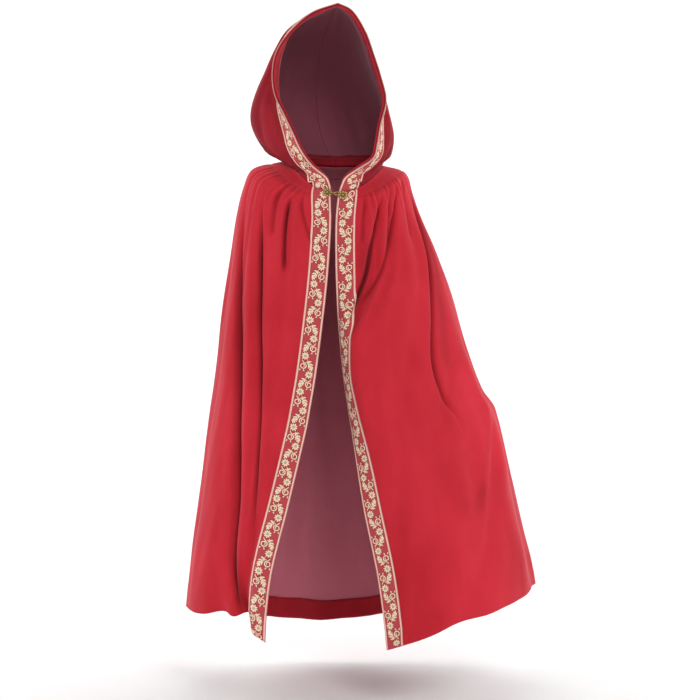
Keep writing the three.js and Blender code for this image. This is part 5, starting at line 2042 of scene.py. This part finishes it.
class Cape:
    """The whole cape, built piece by piece from its forms."""

    def __init__(self) -> None:
        """Make the forms and the finishes."""
        self.body = ClothForm(
            BODY_RINGS, BODY_FOLDS + BODY_CREASES, BODY_WAVES, 1.0,
            lift=HEM_LIFT, tilt=HEM_TILT, gathered=True, strokes=BODY_PAINTED_STROKES,
        )
        self.hood = ClothForm(
            HOOD_RINGS, HOOD_FOLDS + HOOD_CREASES, HOOD_WAVES, -1.0, ridge=True, strokes=HOOD_PAINTED_STROKES
        )
        self.velvet = VelvetFinish(
            "velvet", (0.40, 0.011, 0.019, 1.0), (0.60, 0.026, 0.044, 1.0), (0.10, 0.003, 0.007, 1.0)
        ).material()
        # A darker copy of the body's velvet for the hood: painted shade over the whole hood
        self.hood_velvet_painted_shade = VelvetFinish(
            "hood velvet in painted shade", (0.17, 0.005, 0.011, 1.0), (0.34, 0.014, 0.026, 1.0), (0.06, 0.002, 0.006, 1.0),
            sheen=0.2, nap_and_painted_shade=1.5,
        ).material()
        # A darker copy of the body's velvet for the turned-up hem: painted shade inside the cape
        self.deep = VelvetFinish(
            "hem velvet in painted shade", (0.24, 0.006, 0.012, 1.0), (0.38, 0.014, 0.024, 1.0), (0.10, 0.003, 0.007, 1.0)
        ).material()
        # A darker copy of the wrong side for the inside of the hood: painted shade inside the hood
        self.hood_wrong_painted_shade = BackFinish(
            "hood wrong side in painted shade", (0.30, 0.085, 0.12, 1.0), (0.20, 0.045, 0.07, 1.0)
        ).material()
        self.wrong = BackFinish("wrong side", (0.56, 0.17, 0.22, 1.0), (0.42, 0.10, 0.14, 1.0)).material()
        self.thread = ThreadFinish(
            "red thread", (0.42, 0.02, 0.03, 1.0), (0.3, 0.012, 0.02, 1.0)
        ).material()
        self.ribbon = {
            name: ThreadFinish("ribbon " + name, colour, shade).material()
            for name, colour, shade in (
                ("outline", (0.24, 0.075, 0.035, 1.0), (0.15, 0.045, 0.022, 1.0)),
                ("figure", (1.0, 0.78, 0.58, 1.0), (0.90, 0.62, 0.44, 1.0)),
                ("eye", (0.55, 0.52, 0.34, 1.0), (0.40, 0.36, 0.22, 1.0)),
                ("stitch", (0.9, 0.6, 0.45, 1.0), (0.7, 0.4, 0.28, 1.0)),
            )
        }
        self.ribbon["ground"] = RibbonFinish(
            "ribbon ground",
            ground=(0.50, 0.045, 0.062, 1.0),
            border=(0.98, 0.58, 0.50, 1.0),
            line=(0.26, 0.08, 0.045, 1.0),
        ).material()
        self.brass = BrassFinish(
            "aged brass", bright=(0.56, 0.36, 0.15, 1.0), dark=(0.07, 0.035, 0.014, 1.0)
        ).material()

    def build_body(self) -> None:
        """Make the yoke, the three panels and their turned-up hems."""
        low = np.linspace(-0.05, -HALF_GAP_LEVEL, YOKE_ROWS)
        Panel("yoke", self.body, (0, GATHERS), low, YOKE_COLUMNS, CUTS["yoke"], ()).build(
            self.velvet, self.wrong
        )
        top = np.linspace(HALF_GAP_LEVEL, GATHER_END, TOP_ROWS)
        levels = np.concatenate([top, np.linspace(GATHER_END, 1.0, LOW_ROWS)[1:]])
        split = GATHERS - GATHERS_IN_A_FRONT
        for node, hem, gathers, columns in (
            ("front_left", "hem_left", (0, GATHERS_IN_A_FRONT), FRONT_COLUMNS),
            ("back", "hem_back", (GATHERS_IN_A_FRONT, split), BACK_COLUMNS),
            ("front_right", "hem_right", (split, GATHERS), FRONT_COLUMNS),
        ):
            panel = Panel(node, self.body, gathers, levels, columns, CUTS[node], ("cape_yoke",))
            panel.build(self.velvet, self.wrong)
            HemBand(hem, panel, CUTS[hem]).build(self.deep, self.thread)

    def build_hood(self) -> Edging:
        """Make the hood's halves and its facing, and return the strip along its face edge."""
        for node, side in (("hood_left", Side.LEFT), ("hood_right", Side.RIGHT)):
            HoodHalf(node, self.hood, side, CUTS[node]).build(self.hood_velvet_painted_shade, self.hood_wrong_painted_shade)
        levels = np.linspace(0.0, 1.0, EDGING_ROWS)
        edging = Edging.joined(
            Edging.beside(self.hood, Side.LEFT, levels), Edging.beside(self.hood, Side.RIGHT, levels)
        )
        HoodFacing(edging, CUTS["hood_facing"]).build(self.velvet)
        return edging

    def build_ribbons(self, face: Edging) -> None:
        """Make the three ribbons.

        Args:
            face: The strip along the hood's face edge.
        """
        levels = np.linspace(-0.046, 1.0, EDGING_ROWS * 2)
        for node, side, panel in (
            ("trim_left", Side.LEFT, "cape_front_left"),
            ("trim_right", Side.RIGHT, "cape_front_right"),
        ):
            edging = Edging.beside(self.body, side, levels)
            Ribbon(
                node, edging, 0.0, side is Side.RIGHT, CUTS[node], ("cape_yoke", panel)
            ).build(self.ribbon)
        Ribbon(
            "trim_hood", face, 0.0, True, CUTS["trim_hood"], ("cape_hood_left", "cape_hood_right")
        ).build(self.ribbon)

    def build_clasp(self) -> None:
        """Make the clasp's two halves."""
        reach = clasp_reach()
        ClaspHalf("clasp_left", (-13.6 * MM, -27.5 * MM), reach, HOOK_POINTS).build(self.brass)
        ClaspHalf("clasp_right", (9.4 * MM, -31.5 * MM), reach, EYE_POINTS).build(self.brass)

    def build(self) -> None:
        """Make the whole cape."""
        self.build_body()
        face = self.build_hood()
        self.build_ribbons(face)
        self.build_clasp()


def main() -> None:
    """Build the cape, then the studio."""
    logging.basicConfig(level=logging.INFO, format="%(name)s: %(message)s")
    Cape().build()
    Studio().build()


if __name__ == "__main__":
    main()
